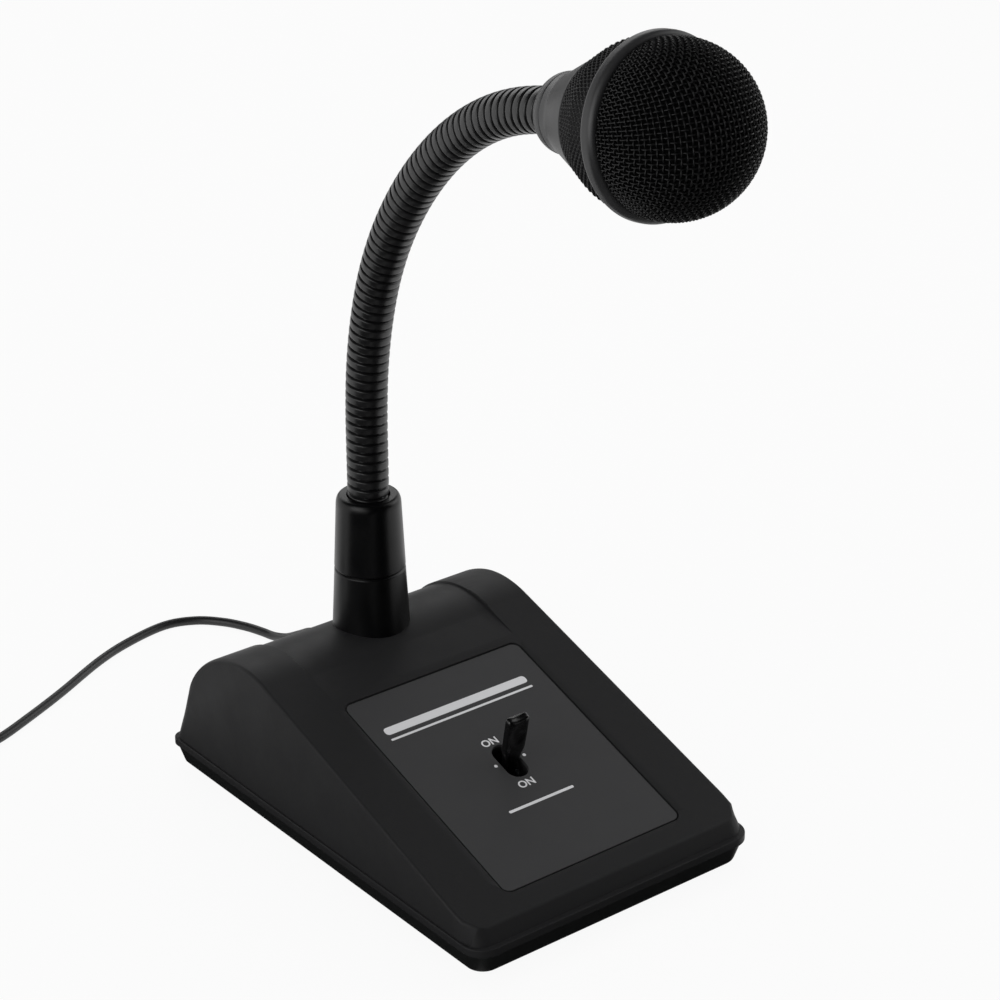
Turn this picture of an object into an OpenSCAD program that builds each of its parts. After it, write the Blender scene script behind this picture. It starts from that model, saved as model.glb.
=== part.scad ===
// Desktop paging microphone: a weighted wedge base with a paddle switch, a bendable neck and a ball head.
// Millimetres. +X is to the right, -Y towards the person who speaks, +Z up.
// The origin is on the desk, under the middle of the base.

/* [Base] */
// Width over the cover's rim
base_w = 121; // [112:1:140]
// Depth over the cover's rim
base_d = 183; // [176:1:200]
// Radius of the base's front corners, seen from above
corner_r = 8; // [5:0.5:12]
// Radius of the base's rear corners, seen from above
rear_r = 4; // [2:0.5:8]
// Height of the rubber feet
foot_h = 2.5; // [1.5:0.5:5]
// Radius of a rubber foot
foot_r = 6; // [4:0.5:8]
// Distance of the feet's centres from the base's sides
foot_in_x = 22; // [16:1:30]
// Distance of the feet's centres from the base's front and rear
foot_in_y = 19.5; // [16:0.5:26]
// Height of the tray, from its underside to the cover's rim
tray_h = 8; // [7:0.5:12]
// How far the tray's sides slope inwards on their way down
tray_taper = 2.2; // [1:0.1:6]
// How far the tray's rim stands back under the cover's rim
tray_back = 1; // [0.5:0.1:2]
// Thickness of the tray's floor and sides
tray_wall = 3; // [2.5:0.25:4]
// Thickness of the cover
wall = 3.2; // [3:0.1:4]
// How far the rim stands out from the cover's walls
lip_out = 0.7; // [0.6:0.1:2]
// Height of the rim band
lip_h = 3; // [2:0.5:5]
// Height of the front face above the rim
front_h = 8.6; // [7:0.2:12]
// Backward lean of the front face, degrees
front_lean = 26; // [15:1:35]
// Slope of the top, degrees
top_slope = 18.3; // [17:0.1:20]
// Forward lean of the rear wall, degrees
rear_lean = 21; // [16:1:24]
// Radius of the rounded crest
crest_r = 40; // [34:1:44]
// Inward lean of the side walls, degrees
side_draft = 1.85; // [1:0.05:3]
// Width of the raised pad round the neck
pad_w = 80; // [60:1:92]
// Height of the raised pad
pad_h = 0.9; // [0.5:0.1:1.5]
// Length of the raised pad, from its front edge over the crest
pad_l = 56; // [46:1:60]

/* [Label and switch] */
// Width of the label plate
label_w = 76; // [50:1:90]
// Length of the label plate along the slope
label_l = 95.3; // [80:0.1:98]
// Thickness of the label plate
label_t = 1; // [0.6:0.1:1.2]
// How far the label plate's face lies below the cover
label_sink = 0.5; // [0.2:0.1:0.6]
// Corner radius of the label plate
label_r = 3; // [1:0.5:6]
// Distance from the front face's top edge to the label
label_margin = 8.9; // [6:0.1:10]
// Distance from the label's rear edge to the raised pad
pad_margin = 4; // [2:0.5:8]
// Place of the switch along the label, from its front edge
switch_at = 48.3; // [40:0.1:52]
// Length of the slot for the lever
slot_l = 16; // [14:0.5:18]
// Width of the slot for the lever
slot_w = 8.4; // [7.4:0.2:10]
// Depth of the lever's pivot below the cover's slope
pivot_depth = 9; // [8.5:0.5:10]
// Throw of the lever to either side, degrees
lever_throw = 16; // [8:1:17]
// Reach of the paddle above the slope
paddle_reach = 20; // [14:1:26]
// Width of the paddle near its tip
paddle_w = 9; // [7:0.5:12]
// Thickness of the paddle
paddle_t = 3.6; // [3:0.2:4.4]
// Height above the slope where the paddle reaches its full width
paddle_rise = 8; // [5:0.5:12]
// Width of the lever's shank in the slot
shank_w = 5.4; // [4:0.2:6.4]
// Length of the lever's tail below the pivot
tail_l = 7; // [6.5:0.5:7.5]
// Radius of the lever's pin
pin_r = 1.25; // [1:0.05:1.5]
// Radius of the lever's hub
hub_r = 3.2; // [2.8:0.1:3.6]
// Length of the lever's hub
hub_l = 6.2; // [5.4:0.2:7]
// Width inside the switch body
well_w = 12; // [11:0.5:16]
// Length inside the switch body
well_l = 18; // [17:0.5:22]
// Thickness of the switch body's walls
switch_wall = 2; // [1.5:0.25:3]

/* [Collar] */
// Distance of the neck's axis behind the centre of the crest's round
neck_back = 3.8; // [0:0.1:6]
// Radius of the lower collar's foot
collar_foot_r = 14; // [13:0.1:16]
// Radius where the two collars meet
collar_mid_r = 12.8; // [12:0.1:13]
// Radius of the upper collar's rim
collar_top_r = 11.5; // [11.5:0.1:12]
// Height of the lower collar
collar_low_h = 19.6; // [16:0.2:24]
// Height of the upper collar
collar_high_h = 28; // [24:0.5:32]
// Rounding of the upper collar's rim
collar_round = 3.5; // [2:0.1:3.5]
// Radius of the threaded shank through the cover
ferrule_r = 6; // [5:0.25:7]
// Thickness of the ferrule's nut
nut_h = 5; // [4:0.5:7]

/* [Neck] */
// Length of one link of the neck
link_l = 17.6; // [16:0.1:20]
// Ribs on one link
link_ribs = 5; // [4:1:5]
// Radius over the ribs
rib_top_r = 7.4; // [7:0.1:7.5]
// Radius of a rib's own section
rib_r = 0.9; // [0.6:0.05:0.95]
// Radius of the neck between the ribs
core_r = 6.1; // [5.9:0.1:6.2]
// Radius of the bore for the leads
bore_r = 2.2; // [1.8:0.1:2.6]
// Radius of the ball on which the next link turns
ball_r = 5; // [4.6:0.1:5.1]
// Depth of the first link in its ferrule
socket_l = 12; // [8:0.5:14]

/* [Head] */
// Distance from the last pivot to the middle of the grille ball
head_l = 61; // [58:0.5:66]
// Lean of the head from the vertical, degrees
head_lean = 82; // [78:1:84]
// Radius of the grille ball
ball_grille_r = 27; // [26:0.1:27.6]
// Thickness of the grille
grille_t = 1; // [0.8:0.1:1.5]
// Radius of the rim ring
ring_r = 28.3; // [28:0.1:30]
// Length of the rim ring along the head
ring_l = 5.5; // [5:0.5:8]
// Radius of the boss behind the knurled band
boss_r = 19.7; // [18:0.1:20]
// Distance from the last pivot to the boss's dome
dome_from = 6.5; // [6.2:0.1:7]
// Radius of the dome next to the neck
dome_r = 12.8; // [12:0.1:13.4]
// Radius of the curve that rounds the dome
dome_round = 7.9; // [7:0.1:8.4]
// Distance from the last pivot to the waist, where the dome meets the cone
waist_l = 17.6; // [16.5:0.1:19]
// Length of the boss from the last pivot
boss_l = 32.4; // [30:0.2:35]
// Thickness of the head's walls
head_wall = 2.2; // [1.8:0.1:2.6]
// Thickness of the foam behind the grille
foam_t = 2.5; // [1.5:0.1:4]
// Radius of the capsule
capsule_r = 16; // [13:0.5:17]
// Length of the capsule
capsule_l = 20; // [16:0.5:22]

/* [Inside the base] */
// Width of the ballast plate
ballast_w = 76; // [60:1:80]
// Depth of the ballast plate
ballast_d = 72; // [60:1:76]
// Thickness of the ballast plate
ballast_t = 8; // [5:0.5:9]
// Distance of the ballast plate's rear edge from the base's rear
ballast_in_y = 13.5; // [13:0.5:18]
// Width of the terminal board
board_w = 28; // [24:1:32]
// Depth of the terminal board
board_d = 24; // [20:1:28]
// Thickness of the terminal board
board_t = 1.6; // [1:0.1:2]
// Distance of the terminal board's middle from the base's side
board_in_x = 26; // [24:0.5:28]
// Distance of the terminal board's middle in front of the middle of the base
board_front = 22; // [18:0.5:26]
// Height of the posts under the terminal board
post_h = 4; // [3:0.5:5]
// Distance of the cover's screws from the base's sides
screw_in_x = 12; // [11.5:0.5:14]
// Distance of the cover's screws from the middle, front to back
screw_y = 50; // [44:1:54]
// Radius of the screws' shanks
screw_r = 1.5; // [1.2:0.1:1.8]
// Radius of the screws' heads
screw_head_r = 3; // [2.4:0.1:3.4]
// Height of the screws' heads
screw_head_h = 1.6; // [1.2:0.1:1.8]

/* [Cord] */
// Diameter of the cord
cord_d = 3.5; // [3:0.1:3.6]
// Place of the cord's exit, sideways
cord_x = 24; // [22:0.5:26]
// Thickness of the cable clamp
clamp_t = 1.4; // [1:0.1:2]
// Length of the strain relief outside the cover
relief_l = 14; // [10:0.5:18]
// Radius of the strain relief at the cover
relief_r = 4; // [3:0.25:4.5]
// Loops in the coil
coil_loops = 11; // [8:1:11]
// Radius at the middle of the coil's loops
coil_mid_r = 21; // [20:0.5:22]
// Distance between neighbouring loops
coil_pitch = 4; // [4:0.05:4.1]
// Radius of the plug's handle
plug_r = 6; // [5:0.25:7]
// Length of the plug's handle
plug_l = 26; // [20:1:32]
// Radius of the plug's contact
jack_r = 3.175; // [2.5:0.025:3.5]
// Length of the plug's contact
jack_l = 30; // [26:1:32]

/* [Fits] */
// Gap round pieces that move, and round the label
gap = 0.3; // [0.2:0.05:0.4]
// Clearance of pieces that are fixed
fit = 0.1; // [0.05:0.01:0.2]
// Clearance of the lever on its pin
run = 0.06; // [0.03:0.01:0.1]

/* [Hidden] */
$fn = 64;

// Names of the pieces
LINKS = [for (k = [1:12]) str("neck_link_", k)];
BASE_NODES = ["top_cover", "bottom_tray", "label_plate", "rubber_feet", "tray_screws", "ballast_plate",
    "ballast_screws", "lower_collar", "upper_collar", "neck_ferrule", "lock_washer", "ferrule_nut"];
SWITCH_NODES = ["switch_body", "switch_lever", "lever_pin", "return_spring", "contact_slide",
    "contact_bridge", "fixed_contacts", "switch_screws"];
WIRING_NODES = ["terminal_board", "solder_tags", "board_screws", "switch_leads", "neck_lead", "inner_cable",
    "cable_clamp", "clamp_screw", "strain_relief"];
HEAD_NODES = ["head_boss", "knurled_band", "rim_ring", "grille", "foam_liner", "capsule", "capsule_mount",
    "capsule_leads"];
CORD_NODES = ["cord_lead", "cord_coil", "cord_tie", "cord_tail", "plug_handle", "plug_contact"];

// Side view of the cover, as lines n*p = d in the plane of y and z
rim_z = foot_h + tray_h;
floor_z = foot_h + tray_wall;
foot_x = base_w / 2 - foot_in_x;
foot_y = base_d / 2 - foot_in_y;
screw_x = base_w / 2 - screw_in_x;
tray_screw_l = 9;
least_r = 0.6;
slope_n = [-sin(top_slope), cos(top_slope)];
rear_n = [cos(rear_lean), sin(rear_lean)];
front_n = [-cos(front_lean), sin(front_lean)];
level_n = [0, 1];
front_foot = [-base_d / 2 + lip_out, rim_z];
rear_foot = [base_d / 2 - lip_out, rim_z];
front_top = front_foot + front_h * [tan(front_lean), 1];
front_at = front_n * front_foot;
slope_at = slope_n * front_top;
rear_at = rear_n * rear_foot;
crest_c = meet(slope_n, slope_at - crest_r, rear_n, rear_at - crest_r);
// The crest's round stands a little over its tangent lines, so that they cross and leave no slivers
crest_over = 0.03;
crest_z = crest_c.y + crest_r;
neck_y = crest_c.x + neck_back;
tall = crest_z + 20;

// Collar, ferrule and the neck's own line: the lean of each link, chosen to follow the bent neck
seat_z = crest_z + pad_h + 0.3;
seat_r = collar_foot_r + 1;
collar_mid_z = seat_z + collar_low_h;
collar_top_z = collar_mid_z + collar_high_h;
neck_z = collar_top_z - 3.2;
groove = 0.6;
foot_bevel = 0.4;
flange_r = ferrule_r + 4;
flange_h = 3;
sleeve_r = core_r + 2.4;
sleeve_z = neck_z - 4;
cup_z = sleeve_z - socket_l;
seat_t = wall + 5;
washer_h = 1;
nut_z = seat_z - seat_t - washer_h - nut_h;
shank_z = nut_z - 3;
link_leans = [0, 0, 4, 10, 16, 24, 32, 39, 46, 54, 63, 73];
pivots = [for (k = [0:len(link_leans)])
    [neck_y, neck_z] + link_l * [-sum_of([for (i = [0:1:k - 1]) sin(link_leans[i])]),
        sum_of([for (i = [0:1:k - 1]) cos(link_leans[i])])]];
rib_pitch = link_l / link_ribs;
rim_gap = 0.6;
shoulder_gap = 1.1;
seat_gap = gap - 0.05;

// Switch, in the frame of the slope
slide_h = 5;
slide_room = 1;
slide_l = well_l - 2 * (tail_l * sin(lever_throw) + slide_room);
tail_r = 1.5;
tail_w = 4;
tail_t = 2.4;
roller_l = 5;
roller_room = 0.5;
tail_slot = tail_r + 0.2;
tail_z = -pivot_depth - tail_l;
slide_z = tail_z - 4;
bridge_t = 0.5;
bridge_w = 8;
bridge_in = 1;
well_depth = bridge_t + 0.5 - slide_z;
contact_r = 1.2;
contact_step = 4;
contact_l = 4.5;
contact_z = slide_z - bridge_t - 0.2;
ear_l = 8;
ear_w = 8;
ear_t = 3;
ear_y = well_l / 2 + switch_wall + ear_l / 2;
csk_r = 2.6;
csk_h = 1.2;
small_screw_r = 1.25;
screw_depth = wall + ear_t + 1.5;
paddle_z = pivot_depth + paddle_rise;
tip_r = 2;
scoop_r = 9;
scoop_d = 1;
scoop_at = 7;
spring_wire = 0.45;
spring_turns = 3;

// Head, along its own axis from the last pivot
ring_z = head_l - 3.5 - ring_l;
foam_r = ball_grille_r - grille_t - fit;
ring_bore = foam_r - foam_t - 0.9;
waist_r = dome_r + 0.5;
band_mid = [25, (boss_l + ring_z) / 2 + 1];
band_end_r = ring_r - 1.1;
grille_z = ring_z + ring_l;
mount_h = ring_l - 1.5;
capsule_z = grille_z + 6 - capsule_l;
lead_r = 0.7;

// Inside the base
board_c = [board_in_x - base_w / 2, -board_front];
board_z = floor_z + post_h;
post_wall = 1.5;
tag_r = 1.2;
tag_in = 4;
tag_h = 3;
tag_step = 5;
ballast_z = floor_z + ballast_t;
ballast_end = base_d / 2 - ballast_in_y;
ballast_y = ballast_end - ballast_d / 2;
ballast_hole_x = 8;
ballast_hole_y = 10;
clamp_y = ballast_end - 16;
clamp_w = 6;
clamp_hole_x = 8;
clamp_bite = 4;
wire_r = 0.6;
cord_r = cord_d / 2;
cord_z = ballast_z + clamp_t + fit + cord_r + 0.25;
rear_out = base_d / 2 + gap;
rear_in = meet(rear_n, rear_at - wall, level_n, cord_z + relief_r + 2).x - gap;
relief_flange = 2;
relief_end = rear_out + relief_flange + relief_l;

// Cord: the free route's points lie on the desk, and the coil beyond it is worked out
tie_t = 0.6;
coil_c = [-134, 169];
coil_start = -67.5;
coil_z = cord_r + tie_t + gap;
coil_in_r = coil_mid_r - coil_pitch * coil_loops / 4;
coil_steps = 24;
coil_end_l = cord_d;
coil_head = [sin(coil_start), -cos(coil_start), 0];
coil_points = [for (k = [0:coil_loops * coil_steps]) coil_point(k / coil_steps)];
coil_tube = concat([coil_points[0] - coil_end_l * coil_head], coil_points,
    [coil_points[len(coil_points) - 1] + coil_end_l * coil_head]);
lay_z = cord_r + fit;
lead_from = [cord_x, relief_end, cord_z];
lead_to = coil_tube[0];
lead_route = [lead_from, lead_from + [0, cord_d, 0], lead_from + [0, 2 * cord_d, 0],
    [24, 123, 15], [24, 131, 10.5], [24, 140, 5.5], [23.8, 149, 2.4], [22.6, 156, lay_z + fit],
    [20, 164, lay_z], [15, 173, lay_z], [7, 181, lay_z], [-5, 185, lay_z],
    [-23, 182, lay_z], [-41, 175.5, lay_z], [-66, 162.5, lay_z], [-85, 153.5, lay_z],
    [-101, 146.5, 2], lead_to - 2 * cord_d * coil_head, lead_to - cord_d * coil_head, lead_to];
tail_from = coil_tube[len(coil_tube) - 1];
tail_turn = 180;
tail_steps = 14;
tail_lift = 0.45;
tail_r_end = coil_mid_r + coil_pitch * coil_loops / 4 + 5;
plug_turn = coil_start - tail_turn;
plug_head = [sin(plug_turn), -cos(plug_turn), 0];
plug_from = [coil_c.x, coil_c.y, plug_r] + tail_r_end * [cos(plug_turn), sin(plug_turn), 0];
tail_route = concat([tail_from, tail_from + cord_d * coil_head, tail_from + 2 * cord_d * coil_head],
    [for (k = [3:tail_steps - 3]) tail_point(k / tail_steps)],
    [plug_from - 2 * cord_d * plug_head, plug_from - cord_d * plug_head, plug_from]);
tie_turn = 30;
tie_w = 5;

// Lines meet at a point
function meet(n1, d1, n2, d2) =
    let (det = n1.x * n2.y - n1.y * n2.x)
    [(d1 * n2.y - d2 * n1.y) / det, (n1.x * d2 - n2.x * d1) / det];
function sum_of(list, i = 0) = i >= len(list) ? 0 : list[i] + sum_of(list, i + 1);
function unit(v) = v / norm(v);

// A point in the slope's frame, as a point of the part
function slope_point(p) = [p.x, front_top.x + p.y * cos(top_slope) - p.z * sin(top_slope),
    front_top.y + p.y * sin(top_slope) + p.z * cos(top_slope)];

// A point of the coil after t loops: it spirals in, climbs a layer in half a loop and spirals out
function coil_point(t) =
    let (r = coil_in_r + coil_pitch * abs(t - coil_loops / 2))
    let (turn = coil_start - 360 * t)
    let (climb = max(0, min(1, 2 * (t - coil_loops / 2) + 0.5)))
    [coil_c.x + r * cos(turn), coil_c.y + r * sin(turn), coil_z + coil_pitch * climb];

// A point of the tail: round the coil's outside, down to the desk and up to the plug's axis
function tail_point(t) =
    let (turn = coil_start - tail_turn * t)
    let (r = tail_r_end - 5 * pow(1 - t, 2))
    let (drop = max(0, min(1, (t - 0.25) / 0.4)))
    let (z = tail_from.z - (tail_from.z - cord_r - tail_lift) * drop * drop * (3 - 2 * drop))
    [coil_c.x + r * cos(turn), coil_c.y + r * sin(turn), z];

// A smooth curve through the points, with a few steps between neighbours
function curve(p, steps) = concat(
    [for (i = [0:len(p) - 2]) for (k = [0:steps - 1])
        curve_at(p[max(i - 1, 0)], p[i], p[i + 1], p[min(i + 2, len(p) - 1)], k / steps)],
    [p[len(p) - 1]]);
function curve_at(a, b, c, d, t) =
    0.5 * (2 * b + (c - a) * t + (2 * a - 5 * b + 4 * c - d) * t * t + (3 * b - a - 3 * c + d) * t * t * t);
function length_of(p) = sum_of([for (i = [1:len(p) - 1]) norm(p[i] - p[i - 1])]);
function heading(p, i) =
    i == 0 ? unit(p[1] - p[0])
    : i == len(p) - 1 ? unit(p[i] - p[i - 1])
    : unit(unit(p[i + 1] - p[i]) + unit(p[i] - p[i - 1]));

// Least gap of the coil to itself, between points half a loop or more apart along it
coil_gap = min([for (i = [0:len(coil_points) - 1]) for (j = [i + coil_steps / 2:1:len(coil_points) - 1])
    norm(coil_points[i] - coil_points[j])]) - cord_d;
echo(coil_gap = coil_gap);
echo(cord_length = length_of(curve(lead_route, 2)) + length_of(coil_tube) + length_of(curve(tail_route, 2)));
echo(pivots = pivots, ball = pivots[len(link_leans)] + head_l * [-sin(head_lean), cos(head_lean)]);
echo(crest_z = crest_z, seat_z = seat_z, neck_z = neck_z, front_top = front_top, crest_c = crest_c);
echo(plug_from = plug_from, plug_head = plug_head, lead_to = lead_to, relief_end = relief_end);

// A tube of one radius along points, with its rings square to the path
module tube(points, r, sides, ref = [0, 0, 1]) {
    rings = len(points);
    ring_points = [for (i = [0:rings - 1])
        let (h = heading(points, i))
        let (s = unit(cross(h, ref)))
        let (u = cross(s, h))
        for (j = [0:sides - 1]) points[i] + r * (cos(360 * j / sides) * s + sin(360 * j / sides) * u)];
    walls = [for (i = [0:rings - 2]) for (j = [0:sides - 1])
        let (a = i * sides + j)
        let (b = i * sides + (j + 1) % sides)
        for (half = [0:1]) half == 0 ? [a, b, b + sides] : [a, b + sides, a + sides]];
    last = (rings - 1) * sides;
    start_cap = [for (j = [1:sides - 2]) [0, j + 1, j]];
    end_cap = [for (j = [1:sides - 2]) [last, last + j, last + j + 1]];
    polyhedron(ring_points, concat(walls, start_cap, end_cap));
}

// Frames in which pieces are drawn
module on_slope() translate([0, front_top.x, front_top.y]) rotate([top_slope, 0, 0]) children();
module on_label() on_slope() translate([0, label_margin, 0]) children();
module on_switch() on_label() translate([0, switch_at, 0]) children();
module on_link(k) translate([0, pivots[k - 1].x, pivots[k - 1].y])
    rotate([link_leans[k - 1], 0, 0]) children();
module on_head() translate([0, pivots[len(link_leans)].x, pivots[len(link_leans)].y])
    rotate([head_lean, 0, 0]) children();
module on_plug() translate(plug_from) rotate([0, 90, atan2(plug_head.y, plug_head.x)]) children();
module along_x() rotate([0, 90, 0]) children();
module along_y() rotate([-90, 0, 0]) children();
module on_corners(x, y) for (sx = [-1, 1]) for (sy = [-1, 1]) translate([sx * x, sy * y, 0]) children();
module on_ballast_screws() translate([0, ballast_y, 0])
    on_corners(ballast_w / 2 - ballast_hole_x, ballast_d / 2 - ballast_hole_y) children();
module on_board_screws() translate([board_c.x, board_c.y, 0]) for (side = [-1, 1])
    translate([side * (board_w / 2 - 4), 0, 0]) children();
module on_ears() for (side = [-1, 1]) translate([0, side * ear_y, 0]) children();

// Flat shapes
module rounded(w, d, r) {
    square([w - 2 * r, d], center = true);
    square([w, d - 2 * r], center = true);
    on_corners(w / 2 - r, d / 2 - r) circle(r);
}
module plan(inset) {
    half_w = base_w / 2 - inset;
    half_d = base_d / 2 - inset;
    front = max(corner_r - inset, least_r);
    rear = max(rear_r - inset, least_r);
    translate([-half_w, front - half_d]) square([2 * half_w, 2 * half_d - front - rear]);
    translate([front - half_w, -half_d]) square([2 * (half_w - front), half_d + 1]);
    translate([rear - half_w, 0]) square([2 * (half_w - rear), half_d]);
    for (side = [-1, 1]) {
        translate([side * (half_w - front), front - half_d]) circle(front);
        translate([side * (half_w - rear), half_d - rear]) circle(rear);
    }
}
module side_view(inset, low) {
    polygon([meet(front_n, front_at - inset, level_n, low),
        meet(front_n, front_at - inset, slope_n, slope_at - inset),
        crest_c + (crest_r - inset) * slope_n, crest_c, crest_c + (crest_r - inset) * rear_n,
        meet(rear_n, rear_at - inset, level_n, low)]);
    intersection() {
        translate(crest_c) circle(crest_r - inset + crest_over);
        translate([crest_c.x - crest_r, low]) square([2 * crest_r, tall]);
    }
}
module slot_shape(extra) {
    square([slot_w + 2 * extra, slot_l - slot_w], center = true);
    for (side = [-1, 1]) translate([0, side * (slot_l - slot_w) / 2]) circle(slot_w / 2 + extra);
}

// The wedge of the cover, drawn in by an inset and starting at a height
module wedge(inset, low) {
    half = base_w / 2 - lip_out - inset;
    intersection() {
        rotate([90, 0, 90]) linear_extrude(base_w, center = true) side_view(inset, low);
        translate([0, 0, low]) linear_extrude(tall) plan(lip_out + inset);
        rotate([90, 0, 0]) linear_extrude(base_d, center = true)
            polygon([[-half, low], [half, low], [half - tall * tan(side_draft), low + tall],
                [-half + tall * tan(side_draft), low + tall]]);
    }
}

module top_cover() color("#2d2d2e") difference() {
    union() {
        difference() {
            union() {
                wedge(0, rim_z);
                translate([0, 0, rim_z]) linear_extrude(lip_h) plan(0);
                intersection() {
                    rotate([90, 0, 90]) linear_extrude(pad_w, center = true) side_view(-pad_h, rim_z);
                    on_label() translate([-pad_w / 2, label_l + pad_margin, -crest_r / 2])
                        cube([pad_w, pad_l, crest_r]);
                }
                translate([0, neck_y, seat_z - seat_t]) cylinder(r = seat_r, h = seat_t);
            }
            wedge(wall, rim_z - 1);
        }
        translate([0, neck_y, seat_z - seat_t]) cylinder(r = seat_r - 2, h = seat_t);
        intersection() {
            on_corners(screw_x, screw_y) translate([0, 0, floor_z]) cylinder(r = screw_r + 2.5, h = tall);
            wedge(wall / 2, floor_z);
        }
    }
    on_label() translate([0, label_l / 2, -label_sink - label_t]) linear_extrude(10)
        rounded(label_w + 2 * gap, label_l + 2 * gap, label_r + gap);
    on_switch() translate([0, 0, -wall - 1]) linear_extrude(wall + 2) slot_shape(fit);
    on_switch() on_ears() translate([0, 0, -wall - 1]) cylinder(r = small_screw_r + fit, h = wall + 2);
    on_switch() on_ears() translate([0, 0, -label_sink - label_t - csk_h])
        cylinder(r1 = small_screw_r + fit, r2 = csk_r + fit, h = csk_h + fit);
    translate([0, neck_y, seat_z - seat_t - 1]) cylinder(r = ferrule_r + fit, h = seat_t + 2);
    on_corners(screw_x, screw_y) translate([0, 0, floor_z - 1])
        cylinder(r = screw_r + fit, h = tray_screw_l + 2);
    translate([cord_x, rear_in - 6, cord_z]) along_y() cylinder(r = relief_r + fit, h = 20);
}

module bottom_tray() color("#303231") difference() {
    union() {
        difference() {
            tray_form(0, foot_h, tray_h);
            tray_form(tray_wall, floor_z, tray_h);
        }
        on_board_screws() translate([0, 0, foot_h])
            cylinder(r = screw_r + post_wall, h = board_z - foot_h);
    }
    on_corners(screw_x, screw_y) translate([0, 0, foot_h - 1]) {
        cylinder(r = screw_r + fit, h = tray_wall + 2);
        cylinder(r = screw_head_r + fit, h = screw_head_h + 1);
    }
    on_board_screws() translate([0, 0, floor_z]) cylinder(r = screw_r + fit, h = post_h + 1);
    on_ballast_screws() translate([0, 0, foot_h + 1]) cylinder(r = screw_r + fit, h = tray_wall);
}
module pan_section(half, taper, low, extra)
    polygon([[-half + taper, low], [half - taper, low], [half, rim_z], [half, rim_z + extra],
        [-half, rim_z + extra], [-half, rim_z]]);
module tray_form(inset, low, h) {
    half_w = base_w / 2 - tray_back - inset;
    half_d = base_d / 2 - tray_back - inset;
    slope = tray_taper / tray_h;
    drop = rim_z - low;
    intersection() {
        rotate([90, 0, 0]) linear_extrude(base_d, center = true)
            pan_section(half_w, drop * slope, low, inset);
        rotate([90, 0, 90]) linear_extrude(base_w, center = true)
            pan_section(half_d, drop * slope, low, inset);
        translate([0, 0, low]) linear_extrude(h + inset) plan(tray_back + inset);
    }
}

module label_plate() color("#38383a") on_label() translate([0, label_l / 2, -label_sink - label_t])
    linear_extrude(label_t) difference() {
        rounded(label_w, label_l, label_r);
        translate([0, switch_at - label_l / 2]) slot_shape(0);
    }

module rubber_feet() color("#1a1a1a") on_corners(foot_x, foot_y) rotate_extrude()
    polygon([[0, 0], [foot_r - 0.6, 0], [foot_r, 0.6], [foot_r, foot_h], [0, foot_h]]);

module pan_screw(l) {
    translate([0, 0, -screw_head_h]) cylinder(r = screw_head_r, h = screw_head_h);
    cylinder(r = screw_r, h = l);
}
module tray_screws() color("silver") on_corners(screw_x, screw_y)
    translate([0, 0, foot_h + screw_head_h]) pan_screw(tray_screw_l);

module ballast_plate() color("#6e7072") difference() {
    translate([-ballast_w / 2, ballast_end - ballast_d, floor_z]) cube([ballast_w, ballast_d, ballast_t]);
    on_ballast_screws() translate([0, 0, foot_h]) cylinder(r = screw_r + fit, h = tray_wall + ballast_t + 1);
    translate([cord_x + clamp_hole_x, clamp_y, ballast_z - clamp_bite - 1])
        cylinder(r = screw_r + fit, h = clamp_bite + 2);
}
module ballast_screws() color("silver") on_ballast_screws() translate([0, 0, ballast_z])
    mirror([0, 0, 1]) pan_screw(ballast_t + tray_wall / 2);

module lower_collar() color("#141414") translate([0, neck_y, 0]) rotate_extrude()
    polygon([[flange_r + fit, seat_z], [collar_foot_r - foot_bevel, seat_z],
        [collar_foot_r, seat_z + foot_bevel], [collar_mid_r, collar_mid_z - groove],
        [collar_mid_r - groove, collar_mid_z],
        [flange_r + fit, collar_mid_z]]);
module upper_collar() color("#141414") translate([0, neck_y, 0]) rotate_extrude() {
    round_z = collar_top_z - collar_round;
    round_x = collar_top_r - collar_round;
    polygon([[sleeve_r + fit, collar_mid_z], [collar_mid_r - groove, collar_mid_z],
        [collar_mid_r, collar_mid_z + groove], [collar_top_r, round_z], [round_x, round_z],
        [round_x, collar_top_z], [rib_top_r + gap, collar_top_z], [rib_top_r + gap, sleeve_z + groove],
        [sleeve_r + fit, sleeve_z + groove]]);
    intersection() {
        translate([round_x, round_z]) circle(collar_round);
        translate([round_x, round_z]) square(collar_round);
    }
}
module neck_ferrule() color("#8c8c8c") translate([0, neck_y, 0]) difference() {
    union() {
        translate([0, 0, shank_z]) cylinder(r = ferrule_r, h = seat_z - shank_z);
        translate([0, 0, seat_z]) cylinder(r = flange_r, h = flange_h);
        translate([0, 0, seat_z + flange_h]) cylinder(r = sleeve_r, h = sleeve_z - seat_z - flange_h);
    }
    translate([0, 0, shank_z - 1]) cylinder(r = bore_r + 1, h = cup_z - shank_z + 2);
    translate([0, 0, cup_z]) cylinder(r = core_r + fit, h = socket_l + 1);
}
module lock_washer() color("silver") translate([0, neck_y, nut_z + nut_h]) difference() {
    cylinder(r = ferrule_r + 4, h = washer_h);
    translate([0, 0, -1]) cylinder(r = ferrule_r + fit, h = washer_h + 2);
}
module ferrule_nut() color("silver") translate([0, neck_y, nut_z]) difference() {
    cylinder(r = ferrule_r + 4, h = nut_h, $fn = 6);
    translate([0, 0, -1]) cylinder(r = ferrule_r + fit, h = nut_h + 2);
}

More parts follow.
